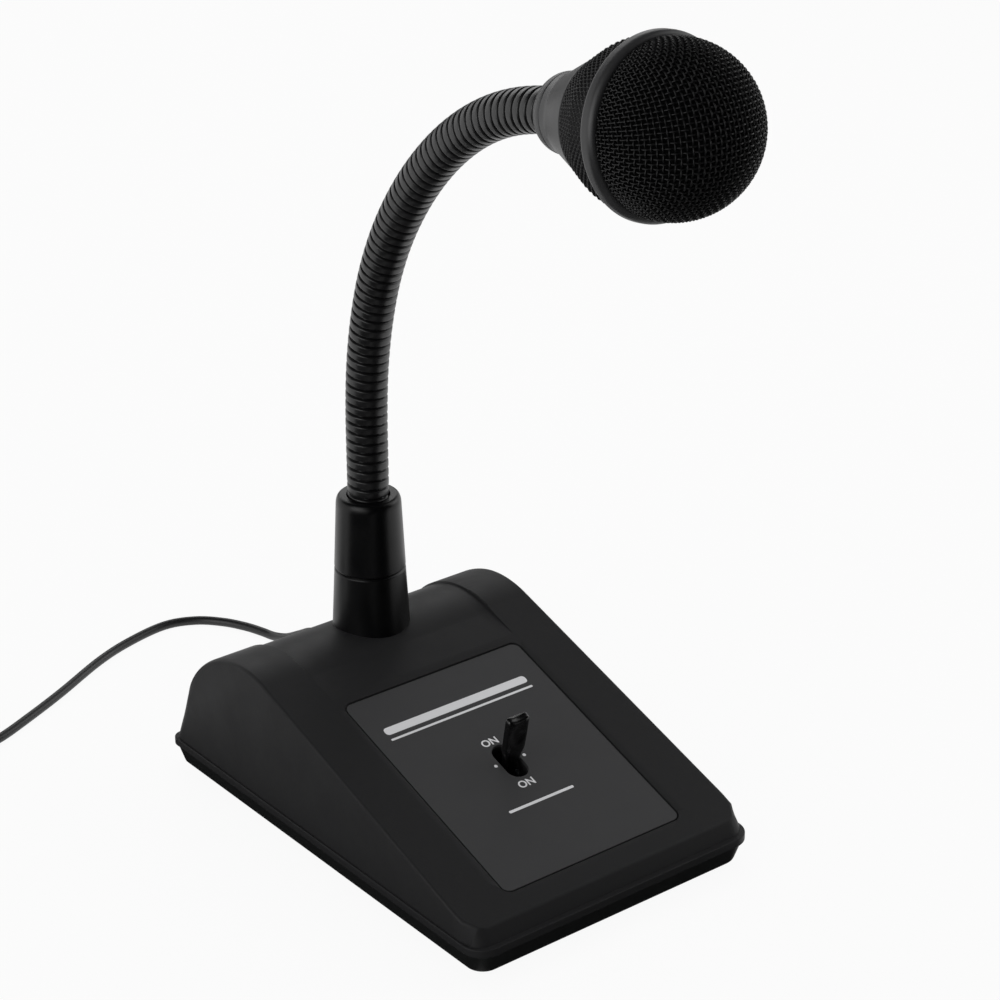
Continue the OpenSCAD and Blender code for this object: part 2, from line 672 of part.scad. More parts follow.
module switch_body() color("#202020") on_switch() difference() {
    union() {
        translate([-well_w / 2 - switch_wall, -well_l / 2 - switch_wall, -well_depth - switch_wall])
            cube([well_w + 2 * switch_wall, well_l + 2 * switch_wall, well_depth + switch_wall - wall]);
        on_ears() translate([-ear_w / 2, -ear_l / 2, -wall - ear_t]) cube([ear_w, ear_l, ear_t]);
    }
    translate([-well_w / 2, -well_l / 2, -well_depth]) cube([well_w, well_l, well_depth]);
    translate([-well_w, 0, -pivot_depth]) along_x() cylinder(r = pin_r + run, h = 2 * well_w);
    on_ears() translate([0, 0, -wall - ear_t - 1]) cylinder(r = small_screw_r + fit, h = ear_t + 2);
    for (k = [-1:1]) translate([0, k * contact_step, -well_depth - switch_wall - 1])
        cylinder(r = contact_r + fit, h = switch_wall + 2);
}
module lever_pin() color("silver") on_switch() translate([-well_w / 2 - switch_wall, 0, -pivot_depth])
    along_x() cylinder(r = pin_r, h = well_w + 2 * switch_wall);
module return_spring() color("#b0b0b0") on_switch() translate([0, 0, -pivot_depth]) {
    mean_r = pin_r + gap + spring_wire / 2;
    start_x = hub_l / 2 + gap + spring_wire / 2;
    tube([for (k = [0:12 * spring_turns]) [start_x + k * (spring_wire + 0.12) / 12,
        mean_r * cos(30 * k), mean_r * sin(30 * k)]], spring_wire / 2, 6, [1, 0, 0]);
}
module switch_lever() color("#0c0c0c") on_switch() translate([0, 0, -pivot_depth]) difference() {
    top = pivot_depth + paddle_reach;
    union() {
        translate([-hub_l / 2, 0, 0]) along_x() cylinder(r = hub_r, h = hub_l);
        rotate([90, 0, 0]) linear_extrude(paddle_t, center = true) {
            translate([-shank_w / 2, 0]) square([shank_w, pivot_depth]);
            polygon([[-shank_w / 2, pivot_depth], [shank_w / 2, pivot_depth], [paddle_w / 2, paddle_z],
                [paddle_w / 2, top - tip_r], [-paddle_w / 2, top - tip_r], [-paddle_w / 2, paddle_z]]);
            translate([0, top - tip_r]) square([paddle_w - 2 * tip_r, 2 * tip_r], center = true);
            for (side = [-1, 1]) translate([side * (paddle_w / 2 - tip_r), top - tip_r]) circle(tip_r);
        }
        translate([-tail_w / 2, -tail_t / 2, -tail_l]) cube([tail_w, tail_t, tail_l]);
        translate([-roller_l / 2, 0, -tail_l]) along_x() cylinder(r = tail_r, h = roller_l);
    }
    translate([-hub_l, 0, 0]) along_x() cylinder(r = pin_r + run, h = 2 * hub_l);
    translate([0, scoop_d - paddle_t / 2 - scoop_r, top - scoop_at]) sphere(scoop_r);
}
module contact_slide() color("#d8d2c0") on_switch() translate([0, 0, slide_z]) difference() {
    translate([-well_w / 2 + gap, -slide_l / 2, 0]) cube([well_w - 2 * gap, slide_l, slide_h]);
    translate([-roller_l / 2 - roller_room, -tail_slot, tail_z - slide_z - tail_r - gap])
        cube([roller_l + 2 * roller_room, 2 * tail_slot, slide_h]);
}
module contact_bridge() color("#c9a14a") on_switch()
    translate([-bridge_w / 2, bridge_in - slide_l / 2, slide_z - bridge_t])
    cube([bridge_w, slide_l - 2 * bridge_in, bridge_t]);
module fixed_contacts() color("#c9a14a") on_switch() for (k = [-1:1])
    translate([0, k * contact_step, contact_z - contact_l]) cylinder(r = contact_r, h = contact_l);
module switch_screws() color("silver") on_switch() on_ears() {
    translate([0, 0, -label_sink - label_t - csk_h]) cylinder(r1 = small_screw_r, r2 = csk_r, h = csk_h);
    translate([0, 0, -screw_depth])
        cylinder(r = small_screw_r, h = screw_depth - label_sink - label_t - csk_h);
}

module terminal_board() color("#5a4a2a") difference() {
    translate([board_c.x - board_w / 2, board_c.y - board_d / 2, board_z]) cube([board_w, board_d, board_t]);
    on_board_screws() translate([0, 0, board_z - 1]) cylinder(r = screw_r + fit, h = board_t + 2);
}
function tag_point(k, row) =
    [board_c.x + k * tag_step, board_c.y + row * (board_d / 2 - tag_in), board_z + board_t];
module solder_tags() color("#c9a14a") for (k = [-1:1]) for (row = [-1, 1])
    translate(tag_point(k, row)) cylinder(r = tag_r, h = tag_h);
module board_screws() color("silver") on_board_screws() translate([0, 0, board_z + board_t])
    mirror([0, 0, 1]) pan_screw(board_t + post_h - 1);
module switch_leads() color("#a33030") for (k = [-1:1]) {
    from = slope_point([0, label_margin + switch_at + k * contact_step, contact_z - contact_l]);
    down = slope_point([0, 0, -1]) - slope_point([0, 0, 0]);
    to = tag_point(k, -1) + [0, 0, tag_h];
    side = well_w / 2 + switch_wall;
    route = [from, from + down, from + 2 * down, from + 2.5 * down - [side + 3, 0, 0],
        [-side - 9, from.y - 2, to.z + 4 - 2 * k], to + [4, 0, 6 - 2 * k], to + [0, 0, 3],
        to + [0, 0, 1.5], to];
    tube(curve(route, 3), wire_r, 6, [0, 1, 0.1]);
}
module neck_lead() color("#303030") {
    from = [0, neck_y, shank_z];
    to = tag_point(0, 1) + [0, 0, tag_h];
    route = [from + [0, 0, 6], from, from - [0, 0, 5], from - [1, 6, 11], [-14, 18, 26], to + [4, 6, 9],
        to + [0, 0, 4], to + [0, 0, 2], to];
    tube(curve(route, 3), 2 * wire_r, 6, [0.2, 1, 0]);
}
module inner_cable() color("#141414") {
    to = tag_point(1, 1) + [0, 0, tag_h];
    from = [cord_x, rear_in - relief_flange, cord_z];
    clamped = [cord_x, clamp_y, cord_z];
    route = [from, from - [0, 3, 0], from - [0, 7, 0], clamped, clamped - [0, 8, 0], clamped - [0, 16, 0],
        [20, 26, 19], [6, 6, 22], [-14, -4, 22], to + [3, 3, 9], to + [0, 0, 5], to + [0, 0, 2.5], to];
    tube(curve(route, 3), cord_r, 8, [0.3, 0.2, 1]);
}
module cable_clamp() color("#202020") translate([cord_x, clamp_y, 0]) difference() {
    union() {
        translate([0, -clamp_w / 2, cord_z]) along_y() cylinder(r = cord_r + fit + clamp_t, h = clamp_w);
        translate([-cord_r - clamp_t, -clamp_w / 2, ballast_z])
            cube([cord_r + clamp_t + clamp_hole_x + screw_head_r + 1, clamp_w, clamp_t]);
        translate([-cord_r, -clamp_w / 2, ballast_z]) cube([cord_d, clamp_w, cord_z - cord_r - ballast_z]);
    }
    translate([0, -clamp_w, cord_z]) along_y() cylinder(r = cord_r + fit, h = 2 * clamp_w);
    translate([clamp_hole_x, 0, ballast_z - 1]) cylinder(r = screw_r + fit, h = clamp_t + 2);
}
module clamp_screw() color("silver") translate([cord_x + clamp_hole_x, clamp_y, ballast_z + clamp_t])
    mirror([0, 0, 1]) pan_screw(clamp_t + clamp_bite);
module strain_relief() color("#111111") translate([cord_x, 0, cord_z]) along_y() rotate_extrude()
    polygon([[0, rear_in - relief_flange], [relief_r + 1.5, rear_in - relief_flange],
        [relief_r + 1.5, rear_in], [relief_r, rear_in], [relief_r, rear_out], [relief_r + 1.2, rear_out],
        [relief_r + 1.2, rear_out + relief_flange], [relief_r, rear_out + relief_flange],
        [cord_r + 0.8, relief_end], [0, relief_end]]);

// One ribbed link of the neck: a socket at its foot, ribs, and the ball on which the next link turns
module neck_link(k) color("#1c1c1c") on_link(k) rotate_extrude() difference() {
    low = k == 1 ? cup_z - neck_z : rim_gap;
    union() {
        translate([bore_r, low]) square([core_r - bore_r, link_l - shoulder_gap - low]);
        for (i = [0:link_ribs - 1]) translate([rib_top_r - rib_r, rib_pitch * (i + 0.5)]) circle(rib_r);
        intersection() {
            translate([0, link_l]) circle(ball_r);
            translate([bore_r, link_l - ball_r]) square([ball_r, 2 * ball_r]);
        }
    }
    if (k > 1) circle(ball_r + seat_gap);
}

// The head's rear: a ribbed stub with the last ball's seat, a dome and a hollow cone
module head_boss() color("#2a2a2a") on_head() rotate_extrude() difference() {
    dome_z = dome_from + dome_round;
    hollow_z = waist_l + 3;
    union() {
        translate([0, rim_gap]) square([core_r, dome_from]);
        for (i = [0:1]) translate([rib_top_r - rib_r, rib_pitch * (i + 0.5)]) circle(rib_r);
        intersection() {
            translate([dome_r - dome_round, dome_z]) circle(dome_round);
            translate([0, dome_from]) square([dome_r, dome_round]);
        }
        polygon([[0, dome_from], [dome_r - dome_round, dome_from], [dome_r, dome_z], [waist_r, waist_l],
            [boss_r, boss_l], [0, boss_l]]);
    }
    circle(ball_r + seat_gap);
    square([bore_r, boss_l]);
    polygon([[0, hollow_z], [waist_r - head_wall - 1, hollow_z], [boss_r - head_wall, boss_l],
        [0, boss_l]]);
}
module knurled_band() color("#161616") on_head() rotate_extrude()
    polygon([[boss_r - head_wall, boss_l], [boss_r, boss_l], band_mid, [band_end_r, ring_z],
        [band_end_r - head_wall - 2, ring_z], band_mid - [head_wall + 0.6, 0]]);
module rim_ring() color("#3c3c3c") on_head() rotate_extrude()
    polygon([[ring_bore, ring_z], [ring_r - 0.8, ring_z], [ring_r, ring_z + 1], [ring_r, grille_z - 1.2],
        [ring_r - 1.2, grille_z], [ring_bore, grille_z]]);
module ball_shell(outer, inner) on_head() rotate_extrude() intersection() {
    translate([0, head_l]) difference() {
        circle(outer);
        circle(inner);
    }
    translate([0, grille_z]) square([2 * outer, 2 * outer]);
}
module grille() color("#101010") ball_shell(ball_grille_r, ball_grille_r - grille_t);
module foam_liner() color("#26262a") ball_shell(foam_r, foam_r - foam_t);
module capsule() color("#4a4a4a") on_head() rotate_extrude()
    polygon([[0, capsule_z], [capsule_r - 4, capsule_z], [capsule_r - 4, capsule_z + 5],
        [capsule_r, capsule_z + 6], [capsule_r, capsule_z + capsule_l - 1],
        [capsule_r - 1, capsule_z + capsule_l], [0, capsule_z + capsule_l]]);
module capsule_mount() color("#181818") on_head() rotate_extrude() translate([capsule_r, ring_z + 1])
    square([ring_bore - capsule_r, mount_h]);
module capsule_leads() color("#a33030") on_head() for (side = [-1, 1])
    translate([side * 1.5 * lead_r, 0, ball_r + 3]) cylinder(r = lead_r, h = capsule_z - ball_r - 3);

module cord_lead() color("#121212") tube(curve(lead_route, 2), cord_r, 8);
module cord_coil() color("#121212") tube(coil_tube, cord_r, 6);
module cord_tail() color("#121212") tube(curve(tail_route, 2), cord_r, 8);
module cord_tie() color("#0e0e0e") translate([coil_c.x, coil_c.y, 0]) rotate([0, 0, tie_turn]) {
    reach = coil_mid_r + coil_pitch * coil_loops / 4 + cord_r + gap;
    inner = coil_in_r - cord_r - 2 * gap;
    high = coil_z + coil_pitch + cord_r + gap;
    rotate([90, 0, 0]) linear_extrude(tie_w, center = true) difference() {
        translate([inner - tie_t, 0]) square([reach - inner + 2 * tie_t, high + tie_t]);
        translate([inner, tie_t]) square([reach - inner, high - tie_t]);
    }
}
module plug_handle() color("#151515") on_plug() {
    cylinder(r1 = cord_r + 1, r2 = plug_r, h = plug_l / 3);
    translate([0, 0, plug_l / 3]) cylinder(r = plug_r, h = plug_l * 2 / 3);
}
module plug_contact() color("#c8c8c8") on_plug() translate([0, 0, plug_l]) rotate_extrude()
    polygon([[0, 0], [jack_r + 1.4, 0], [jack_r + 1.4, 2], [jack_r, 2], [jack_r, jack_l - 8.4],
        [jack_r - 0.6, jack_l - 8], [jack_r - 0.6, jack_l - 7.2], [jack_r, jack_l - 6.6],
        [jack_r, jack_l - 5],
        [jack_r - 1.1, jack_l - 3.4], [jack_r, jack_l - 2], [jack_r - 0.8, jack_l - 0.4],
        [jack_r - 2, jack_l], [0, jack_l]]);

top_cover();
bottom_tray();
label_plate();
rubber_feet();
tray_screws();
ballast_plate();
ballast_screws();
lower_collar();
upper_collar();
neck_ferrule();
lock_washer();
ferrule_nut();
switch_body();
switch_lever();
lever_pin();
return_spring();
contact_slide();
contact_bridge();
fixed_contacts();
switch_screws();
terminal_board();
solder_tags();
board_screws();
switch_leads();
neck_lead();
inner_cable();
cable_clamp();
clamp_screw();
strain_relief();
for (k = [1:len(LINKS)]) neck_link(k);
head_boss();
knurled_band();
rim_ring();
grille();
foam_liner();
capsule();
capsule_mount();
capsule_leads();
cord_lead();
cord_coil();
cord_tie();
cord_tail();
plug_handle();
plug_contact();
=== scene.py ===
"""Dresses the desktop paging microphone: a wedge base with a paddle, a bendable neck and a ball head."""

import logging
import math
from collections.abc import Sequence
from dataclasses import dataclass, field
from enum import Enum

import bmesh
import bpy
import numpy as np
from mathutils import Matrix


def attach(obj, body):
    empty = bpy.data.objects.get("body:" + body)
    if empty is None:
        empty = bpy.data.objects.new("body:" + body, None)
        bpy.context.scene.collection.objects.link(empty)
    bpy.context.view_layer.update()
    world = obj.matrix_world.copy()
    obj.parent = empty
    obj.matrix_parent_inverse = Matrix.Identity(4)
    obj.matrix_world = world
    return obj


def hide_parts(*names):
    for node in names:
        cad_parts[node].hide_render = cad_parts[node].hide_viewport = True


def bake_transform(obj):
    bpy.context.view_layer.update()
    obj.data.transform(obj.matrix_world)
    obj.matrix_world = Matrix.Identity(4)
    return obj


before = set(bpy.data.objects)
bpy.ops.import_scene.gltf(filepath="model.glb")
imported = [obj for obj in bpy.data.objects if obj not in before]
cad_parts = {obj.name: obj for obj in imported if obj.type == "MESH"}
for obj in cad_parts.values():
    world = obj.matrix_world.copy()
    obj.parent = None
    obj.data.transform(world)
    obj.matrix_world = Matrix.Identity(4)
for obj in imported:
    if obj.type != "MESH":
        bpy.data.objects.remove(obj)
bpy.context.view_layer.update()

Array = np.ndarray
MM = 0.001
SHARP = 34.0  # degrees from which an edge stays sharp
MERGE = 1e-6  # metres within which points become one
UP = np.array([0.0, 0.0, 1.0])
LOG = logging.getLogger("paging_microphone")


def linear(colour: str) -> tuple[float, float, float, float]:
    """Turns an sRGB hex colour into linear values.

    Args:
        colour: the colour as "#rrggbb".

    Returns:
        Red, green and blue in linear light, and an alpha of 1.
    """
    channels = np.array([int(colour[i : i + 2], 16) for i in (1, 3, 5)]) / 255.0
    light = np.where(channels <= 0.04045, channels / 12.92, ((channels + 0.055) / 1.055) ** 2.4)
    return (float(light[0]), float(light[1]), float(light[2]), 1.0)


def add_node(
    tree: bpy.types.NodeTree,
    kind: str,
    settings: dict[str, object] | None = None,
    links: dict[str | int, object] | None = None,
) -> bpy.types.Node:
    """Adds one shader node with its settings and links.

    Args:
        tree: the node tree that gets it.
        kind: the node's type name.
        settings: attributes of the node by name.
        links: inputs by name or number, each a constant or the socket that feeds it.

    Returns:
        The new node.
    """
    made = tree.nodes.new(kind)
    for key, value in (settings or {}).items():
        setattr(made, key, value)
    for key, value in (links or {}).items():
        if isinstance(value, bpy.types.NodeSocket):
            tree.links.new(value, made.inputs[key])
        else:
            made.inputs[key].default_value = value
    return made


def blank_material(name: str) -> bpy.types.Material:
    """A new material with an empty node tree."""
    made = bpy.data.materials.new(name)
    made.use_nodes = True
    made.node_tree.nodes.clear()
    return made


def add_object(name: str, data: bpy.types.ID) -> bpy.types.Object:
    """A new object in the scene that shows a mesh, a lamp, a camera or letters."""
    made = bpy.data.objects.new(name, data)
    bpy.context.scene.collection.objects.link(made)
    return made


class Surface(Enum):
    """How a surface was made, which decides the pattern that it shows."""

    MOULDED = "spark-eroded mould grain"
    SPRAYED = "sprayed film with orange peel"
    POLISHED = "polished mould"
    TURNED = "fine marks round the axis"
    POROUS = "open cells"


@dataclass(frozen=True)
class Finish:
    """One real material: its colours, gloss and the size of its grain in millimetres."""

    name: str
    colour: str
    second: str
    surface: Surface
    roughness: float
    metallic: float = 0.0
    ior: float = 1.5
    grain: float = 0.7
    relief: float = 0.02
    cloud: float = 14.0
    spread: float = 0.04
    specular: float = 0.5

    def material(self) -> bpy.types.Material:
        """Makes the material, or returns it if it was made before.

        Returns:
            A node material: two close tints in soft clouds, gloss that follows them and a fine grain as bump.
        """
        known = bpy.data.materials.get(self.name)
        if known is not None:
            return known
        made = blank_material(self.name)
        tree = made.node_tree
        place = add_node(tree, "ShaderNodeTexCoord").outputs["Object"]
        cloud = add_node(
            tree, "ShaderNodeTexNoise", None, {"Vector": place, "Scale": 1 / (self.cloud * MM), "Detail": 3.0}
        )
        height = self._grain(tree, place)
        tint = add_node(
            tree,
            "ShaderNodeMix",
            {"data_type": "RGBA"},
            {0: cloud.outputs["Fac"], 6: linear(self.colour), 7: linear(self.second)},
        )
        gloss = add_node(
            tree,
            "ShaderNodeMapRange",
            None,
            {
                "Value": cloud.outputs["Fac"],
                "From Min": 0.3,
                "From Max": 0.7,
                "To Min": self.roughness - self.spread,
                "To Max": self.roughness + self.spread,
            },
        )
        bump = add_node(
            tree, "ShaderNodeBump", None, {"Strength": 1.0, "Distance": self.relief * MM, "Height": height}
        )
        shader = add_node(
            tree,
            "ShaderNodeBsdfPrincipled",
            None,
            {
                "Base Color": tint.outputs[2],
                "Roughness": gloss.outputs["Result"],
                "Metallic": self.metallic,
                "IOR": self.ior,
                "Specular IOR Level": self.specular,
                "Normal": bump.outputs["Normal"],
            },
        )
        add_node(tree, "ShaderNodeOutputMaterial", None, {"Surface": shader.outputs["BSDF"]})
        return made

    def _grain(self, tree: bpy.types.NodeTree, place: bpy.types.NodeSocket) -> bpy.types.NodeSocket:
        """Adds the fine pattern of the surface.

        Args:
            tree: the material's node tree.
            place: the coordinates that the pattern reads.

        Returns:
            The socket with the pattern's height.
        """
        scale = 1 / (self.grain * MM)
        if self.surface is Surface.POROUS:
            cells = add_node(tree, "ShaderNodeTexVoronoi", None, {"Vector": place, "Scale": scale})
            return cells.outputs["Distance"]
        if self.surface is Surface.TURNED:
            stretch = add_node(
                tree, "ShaderNodeMapping", None, {"Vector": place, "Scale": (0.12, 0.12, 1.0)}
            )
            place = stretch.outputs["Vector"]
        detail = {Surface.MOULDED: 2.0, Surface.SPRAYED: 0.5, Surface.POLISHED: 0.0, Surface.TURNED: 1.0}
        links = {"Vector": place, "Scale": scale, "Detail": detail[self.surface]}
        noise = add_node(tree, "ShaderNodeTexNoise", None, links)
        return noise.outputs["Fac"]


# Acrylonitrile plastic from a spark-eroded mould: matt charcoal with a fine even grain, whose pits swallow
# part of the gloss. The real grain is about 0.2 mm, which is too fine to show, so it is drawn at 0.7 mm.
COVER_ABS = Finish(
    "moulded charcoal ABS", "#232324", "#1f1f20", Surface.MOULDED, 0.5, ior=1.54, relief=0.03, specular=0.18
)
# The same plastic in a slightly greener batch for the pan below. Its tints are darker than the cover's, which
# paints shade onto the pan under the cover's rim.
TRAY_ABS_WITH_SHADE = Finish(
    "moulded grey ABS darkened as painted shade", "#1a1b1b", "#171818", Surface.MOULDED, 0.5, ior=1.54, relief=0.03, specular=0.18
)
# Sprayed aluminium plate: a little lighter than the cover, even and silky.
LABEL_PAINT = Finish(
    "sprayed label plate", "#3d3d3e", "#3a3a3b", Surface.SPRAYED, 0.5, grain=0.5, relief=0.008, specular=0.25
)
# Screen-printed ink: flat off-white.
INK = Finish("screen-printed white ink", "#e4e4e6", "#d6d6d8", Surface.POLISHED, 0.55, relief=0.004)
# Polished black polyamide: deep and glossy, with clear highlights on its scoop.
LEVER_NYLON = Finish(
    "polished black polyamide", "#050506", "#070708", Surface.POLISHED, 0.24, ior=1.53, grain=2.0,
    relief=0.004,
)
# Satin black enamel on turned metal: broad soft highlights at its sides.
COLLAR_ENAMEL = Finish(
    "satin black enamel", "#040405", "#060607", Surface.SPRAYED, 0.32, ior=1.52, grain=0.8, relief=0.006,
    specular=0.26,
)
# Black-finished steel windings: each turn shows a grey glint.
NECK_ENAMEL = Finish(
    "black-finished steel winding", "#0d0d0e", "#121213", Surface.SPRAYED, 0.34, ior=1.55, grain=0.6,
    relief=0.006,
)
# Charcoal enamel on the die-cast head: grey and silky where it turns towards the light.
HEAD_ENAMEL = Finish(
    "charcoal enamel on die-cast metal", "#262627", "#2b2b2c", Surface.SPRAYED, 0.42, ior=1.52, grain=0.7,
    relief=0.008,
)
# The same enamel, darker and rougher on the knurl.
KNURL_ENAMEL = Finish(
    "dark enamel on knurling", "#0a0a0b", "#0d0d0e", Surface.SPRAYED, 0.5, ior=1.52, grain=0.7, relief=0.008,
    specular=0.17,
)
# Black lacquer on woven steel wire: nearly black, small glints.
GRILLE_LACQUER = Finish(
    "black lacquer on woven wire", "#0b0b0c", "#0e0e0f", Surface.SPRAYED, 0.46, grain=0.6, relief=0.004,
    specular=0.42,
)
# Open-cell polyurethane foam: dull, dark and porous. Real cells of about 0.4 mm are drawn at 0.9 mm.
FOAM = Finish(
    "open-cell polyurethane foam", "#060607", "#0b0b0c", Surface.POROUS, 0.95, grain=0.9, relief=0.25,
    specular=0.15,
)
# Soft vinyl jacket: smooth and slightly waxy.
CORD_VINYL = Finish(
    "black vinyl cord jacket", "#151516", "#1a1a1b", Surface.SPRAYED, 0.42, grain=1.2, relief=0.01
)
# Natural rubber: dead matt.
RUBBER = Finish("black rubber", "#161616", "#1c1c1c", Surface.MOULDED, 0.85, ior=1.52, grain=0.6)
# Zinc-plated screws and washers: pale grey metal with turning marks.
ZINC = Finish(
    "zinc-plated steel", "#b4b7bb", "#a4a8ad", Surface.TURNED, 0.36, metallic=1.0, grain=0.2, relief=0.004
)
# Bare rolled steel: dull grey with rolling marks.
BARE_STEEL = Finish(
    "rolled steel plate", "#7d8083", "#6c6f73", Surface.TURNED, 0.5, metallic=1.0, grain=0.4, relief=0.006
)
# Nickel plate: bright, slightly warm.
NICKEL = Finish(
    "nickel-plated brass", "#cbc6bc", "#c2bdb3", Surface.TURNED, 0.2, metallic=1.0, grain=0.2, relief=0.002
)
# Bare brass contacts.
BRASS = Finish("brass", "#c8a24c", "#b8913f", Surface.TURNED, 0.32, metallic=1.0, grain=0.2, relief=0.003)
# Spun aluminium can of the capsule.
ALUMINIUM = Finish(
    "spun aluminium", "#8d9093", "#7f8285", Surface.TURNED, 0.38, metallic=1.0, grain=0.3, relief=0.004
)
# Phenolic paper board: brown and slightly shiny.
PHENOLIC = Finish("phenolic board", "#5b4527", "#4f3b21", Surface.SPRAYED, 0.45, grain=1.0, relief=0.004)
# Vinyl on the thin leads.
LEAD_VINYL = Finish("red vinyl lead", "#8f2d2a", "#832623", Surface.POLISHED, 0.42, relief=0.004)
# Glass-filled switch moulding.
SWITCH_MOULDING = Finish("glass-filled black moulding", "#1f1f20", "#262627", Surface.MOULDED, 0.55)
# Black acetal of the slide under the lever: waxy, and darkened to paint the shade inside the slot, so that
# the slot looks empty.
ACETAL_SLOT_SHADE = Finish(
    "black acetal darkened as painted slot shade", "#0a0a0a", "#0d0d0d", Surface.POLISHED, 0.5, ior=1.48, relief=0.004, specular=0.3
)
# Black polyamide strap.
TIE_NYLON = Finish(
    "black polyamide strap", "#111112", "#161617", Surface.MOULDED, 0.5, grain=0.5, relief=0.01
)

NODE_FINISHES: dict[str, Finish] = {
    "tray_screws": ZINC,
    "ballast_plate": BARE_STEEL,
    "ballast_screws": ZINC,
    "neck_ferrule": ZINC,
    "lock_washer": ZINC,
    "ferrule_nut": ZINC,
    "switch_body": SWITCH_MOULDING,
    "lever_pin": ZINC,
    "return_spring": ZINC,
    "contact_slide": ACETAL_SLOT_SHADE,
    "contact_bridge": BRASS,
    "fixed_contacts": BRASS,
    "switch_screws": ZINC,
    "terminal_board": PHENOLIC,
    "solder_tags": BRASS,
    "board_screws": ZINC,
    "switch_leads": LEAD_VINYL,
    "neck_lead": CORD_VINYL,
    "inner_cable": CORD_VINYL,
    "cable_clamp": TIE_NYLON,
    "clamp_screw": ZINC,
    "capsule": ALUMINIUM,
    "capsule_mount": RUBBER,
    "capsule_leads": LEAD_VINYL,
}


def cells_of(index: Array) -> Array:
    """The four corner numbers of every cell between neighbouring rows and columns of point numbers."""
    low, high = index[..., :-1, :], index[..., 1:, :]
    return np.stack([low[..., :-1], low[..., 1:], high[..., 1:], high[..., :-1]], -1).reshape(-1, 4)


@dataclass
class Grid:
    """A surface given as rows of points that close on themselves, in millimetres."""

    points: Array
    close_rows: bool = False

    def quads(self) -> Array:
        """The four corner numbers of every cell, turned so that a closed grid faces outwards."""
        rows, columns = self.points.shape[:2]
        index = np.arange(rows * columns).reshape(rows, columns)
        if self.close_rows:
            index = np.vstack([index, index[:1]])
        index = np.hstack([index, index[:, :1]])
        return facing_out(self.points.reshape(-1, 3), cells_of(index))


def facing_out(points: Array, cells: Array) -> Array:
    """Turns the cells round if the volume that they enclose comes out negative.

    Args:
        points: all points, one row each.
        cells: four point numbers per cell.

    Returns:
        The cells, or the cells in reverse order.
    """
    middle = points - points.mean(0)
    a, b, c, d = (middle[cells[:, k]] for k in range(4))
    volume = np.einsum("ij,ij->", a, np.cross(b, c)) + np.einsum("ij,ij->", a, np.cross(c, d))
    return cells if volume > 0 else cells[:, ::-1]


def make_mesh(name: str, points: Array, cells: Array, sharp: float = SHARP) -> bpy.types.Object:
    """Puts points and cells into a mesh object, closes its seams and poles and shades it.

    Args:
        name: the object's name.
        points: the points in millimetres.
        cells: four point numbers per cell.
        sharp: the angle in degrees from which an edge stays sharp.

    Returns:
        The object, linked to the scene.
    """
    mesh = bpy.data.meshes.new(name)
    mesh.from_pydata((points * MM).tolist(), [], cells.tolist())
    work = bmesh.new()
    work.from_mesh(mesh)
    bmesh.ops.remove_doubles(work, verts=work.verts, dist=MERGE)
    bmesh.ops.dissolve_degenerate(work, edges=work.edges, dist=MERGE / 10)
    work.to_mesh(mesh)
    work.free()
    made = add_object(name, mesh)
    shade(made, sharp)
    return made


def shade(piece: bpy.types.Object, sharp: float = SHARP) -> None:
    """Shades a piece smoothly up to an angle in degrees, with its large flat faces kept flat."""
    piece.data.polygons.foreach_set("use_smooth", np.ones(len(piece.data.polygons), bool))
    piece.data.set_sharp_from_angle(angle=math.radians(sharp))
    even = piece.modifiers.new("even shading", "WEIGHTED_NORMAL")
    even.keep_sharp = True


def make_piece(name: str, grids: Sequence[Grid], sharp: float = SHARP) -> bpy.types.Object:
    """Makes one object from closed grids.

    Args:
        name: the object's name.
        grids: the surfaces.
        sharp: the angle in degrees from which an edge stays sharp.

    Returns:
        The object.
    """
    points = [grid.points.reshape(-1, 3) for grid in grids]
    starts = np.cumsum([0] + [len(part) for part in points[:-1]])
    cells = [grid.quads() + start for grid, start in zip(grids, starts)]
    return make_mesh(name, np.concatenate(points), np.concatenate(cells), sharp)


def dress(
    piece: bpy.types.Object, finish: Finish, body: str | None, nodes: Sequence[str] = ()
) -> bpy.types.Object:
    """Gives a piece its finish, the body that it rides on and the solids that it stands for.

    Args:
        piece: the object.
        finish: its material.
        body: the body, or None for a piece that lies across a joint and rides on no body.
        nodes: the solids that it replaces.

    Returns:
        The piece.
    """
    piece.data.materials.clear()
    piece.data.materials.append(finish.material())
    if body is not None:
        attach(piece, body)
    if nodes:
        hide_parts(*nodes)
    LOG.info("%s: %d faces, %s", piece.name, len(piece.data.polygons), finish.name)
    return piece


def turned(degrees: float, place: Sequence[float]) -> Array:
    """A placing matrix: a turn about X in degrees and then a shift."""
    matrix = np.eye(4)
    matrix[:3, :3] = np.array(Matrix.Rotation(math.radians(degrees), 3, "X"))
    matrix[:3, 3] = place
    return matrix


def placed(points: Array, matrix: Array) -> Array:
    """The points moved by a placing matrix."""
    return points @ matrix[:3, :3].T + matrix[:3, 3]


def rounded(corners: Sequence[Sequence[float]], cuts: float | Sequence[float], steps: int = 5) -> Array:
    """Rounds the corners of a closed polygon.

    Each corner P becomes the curve (1-t)^2 A + 2t(1-t) P + t^2 B, where A and B lie on the two sides that
    meet there, at the cut's distance from P and at most half-way along.

    Args:
        corners: the polygon's corners.
        cuts: the distance to cut, one for all or one for each corner.
        steps: points on each curve.

    Returns:
        The rounded polygon's points.
    """
    p = np.asarray(corners, float)
    cut = np.broadcast_to(np.asarray(cuts, float), len(p))[:, None]
    ends = []
    for neighbour in (np.roll(p, 1, 0), np.roll(p, -1, 0)):
        side = neighbour - p
        length = np.linalg.norm(side, axis=1, keepdims=True)
        ends.append(p + side / np.maximum(length, 1e-9) * np.minimum(cut, 0.49 * length))
    t = np.linspace(0, 1, steps)[None, :, None]
    curve = (1 - t) ** 2 * ends[0][:, None] + 2 * t * (1 - t) * p[:, None] + t**2 * ends[1][:, None]
    return curve.reshape(-1, p.shape[1])


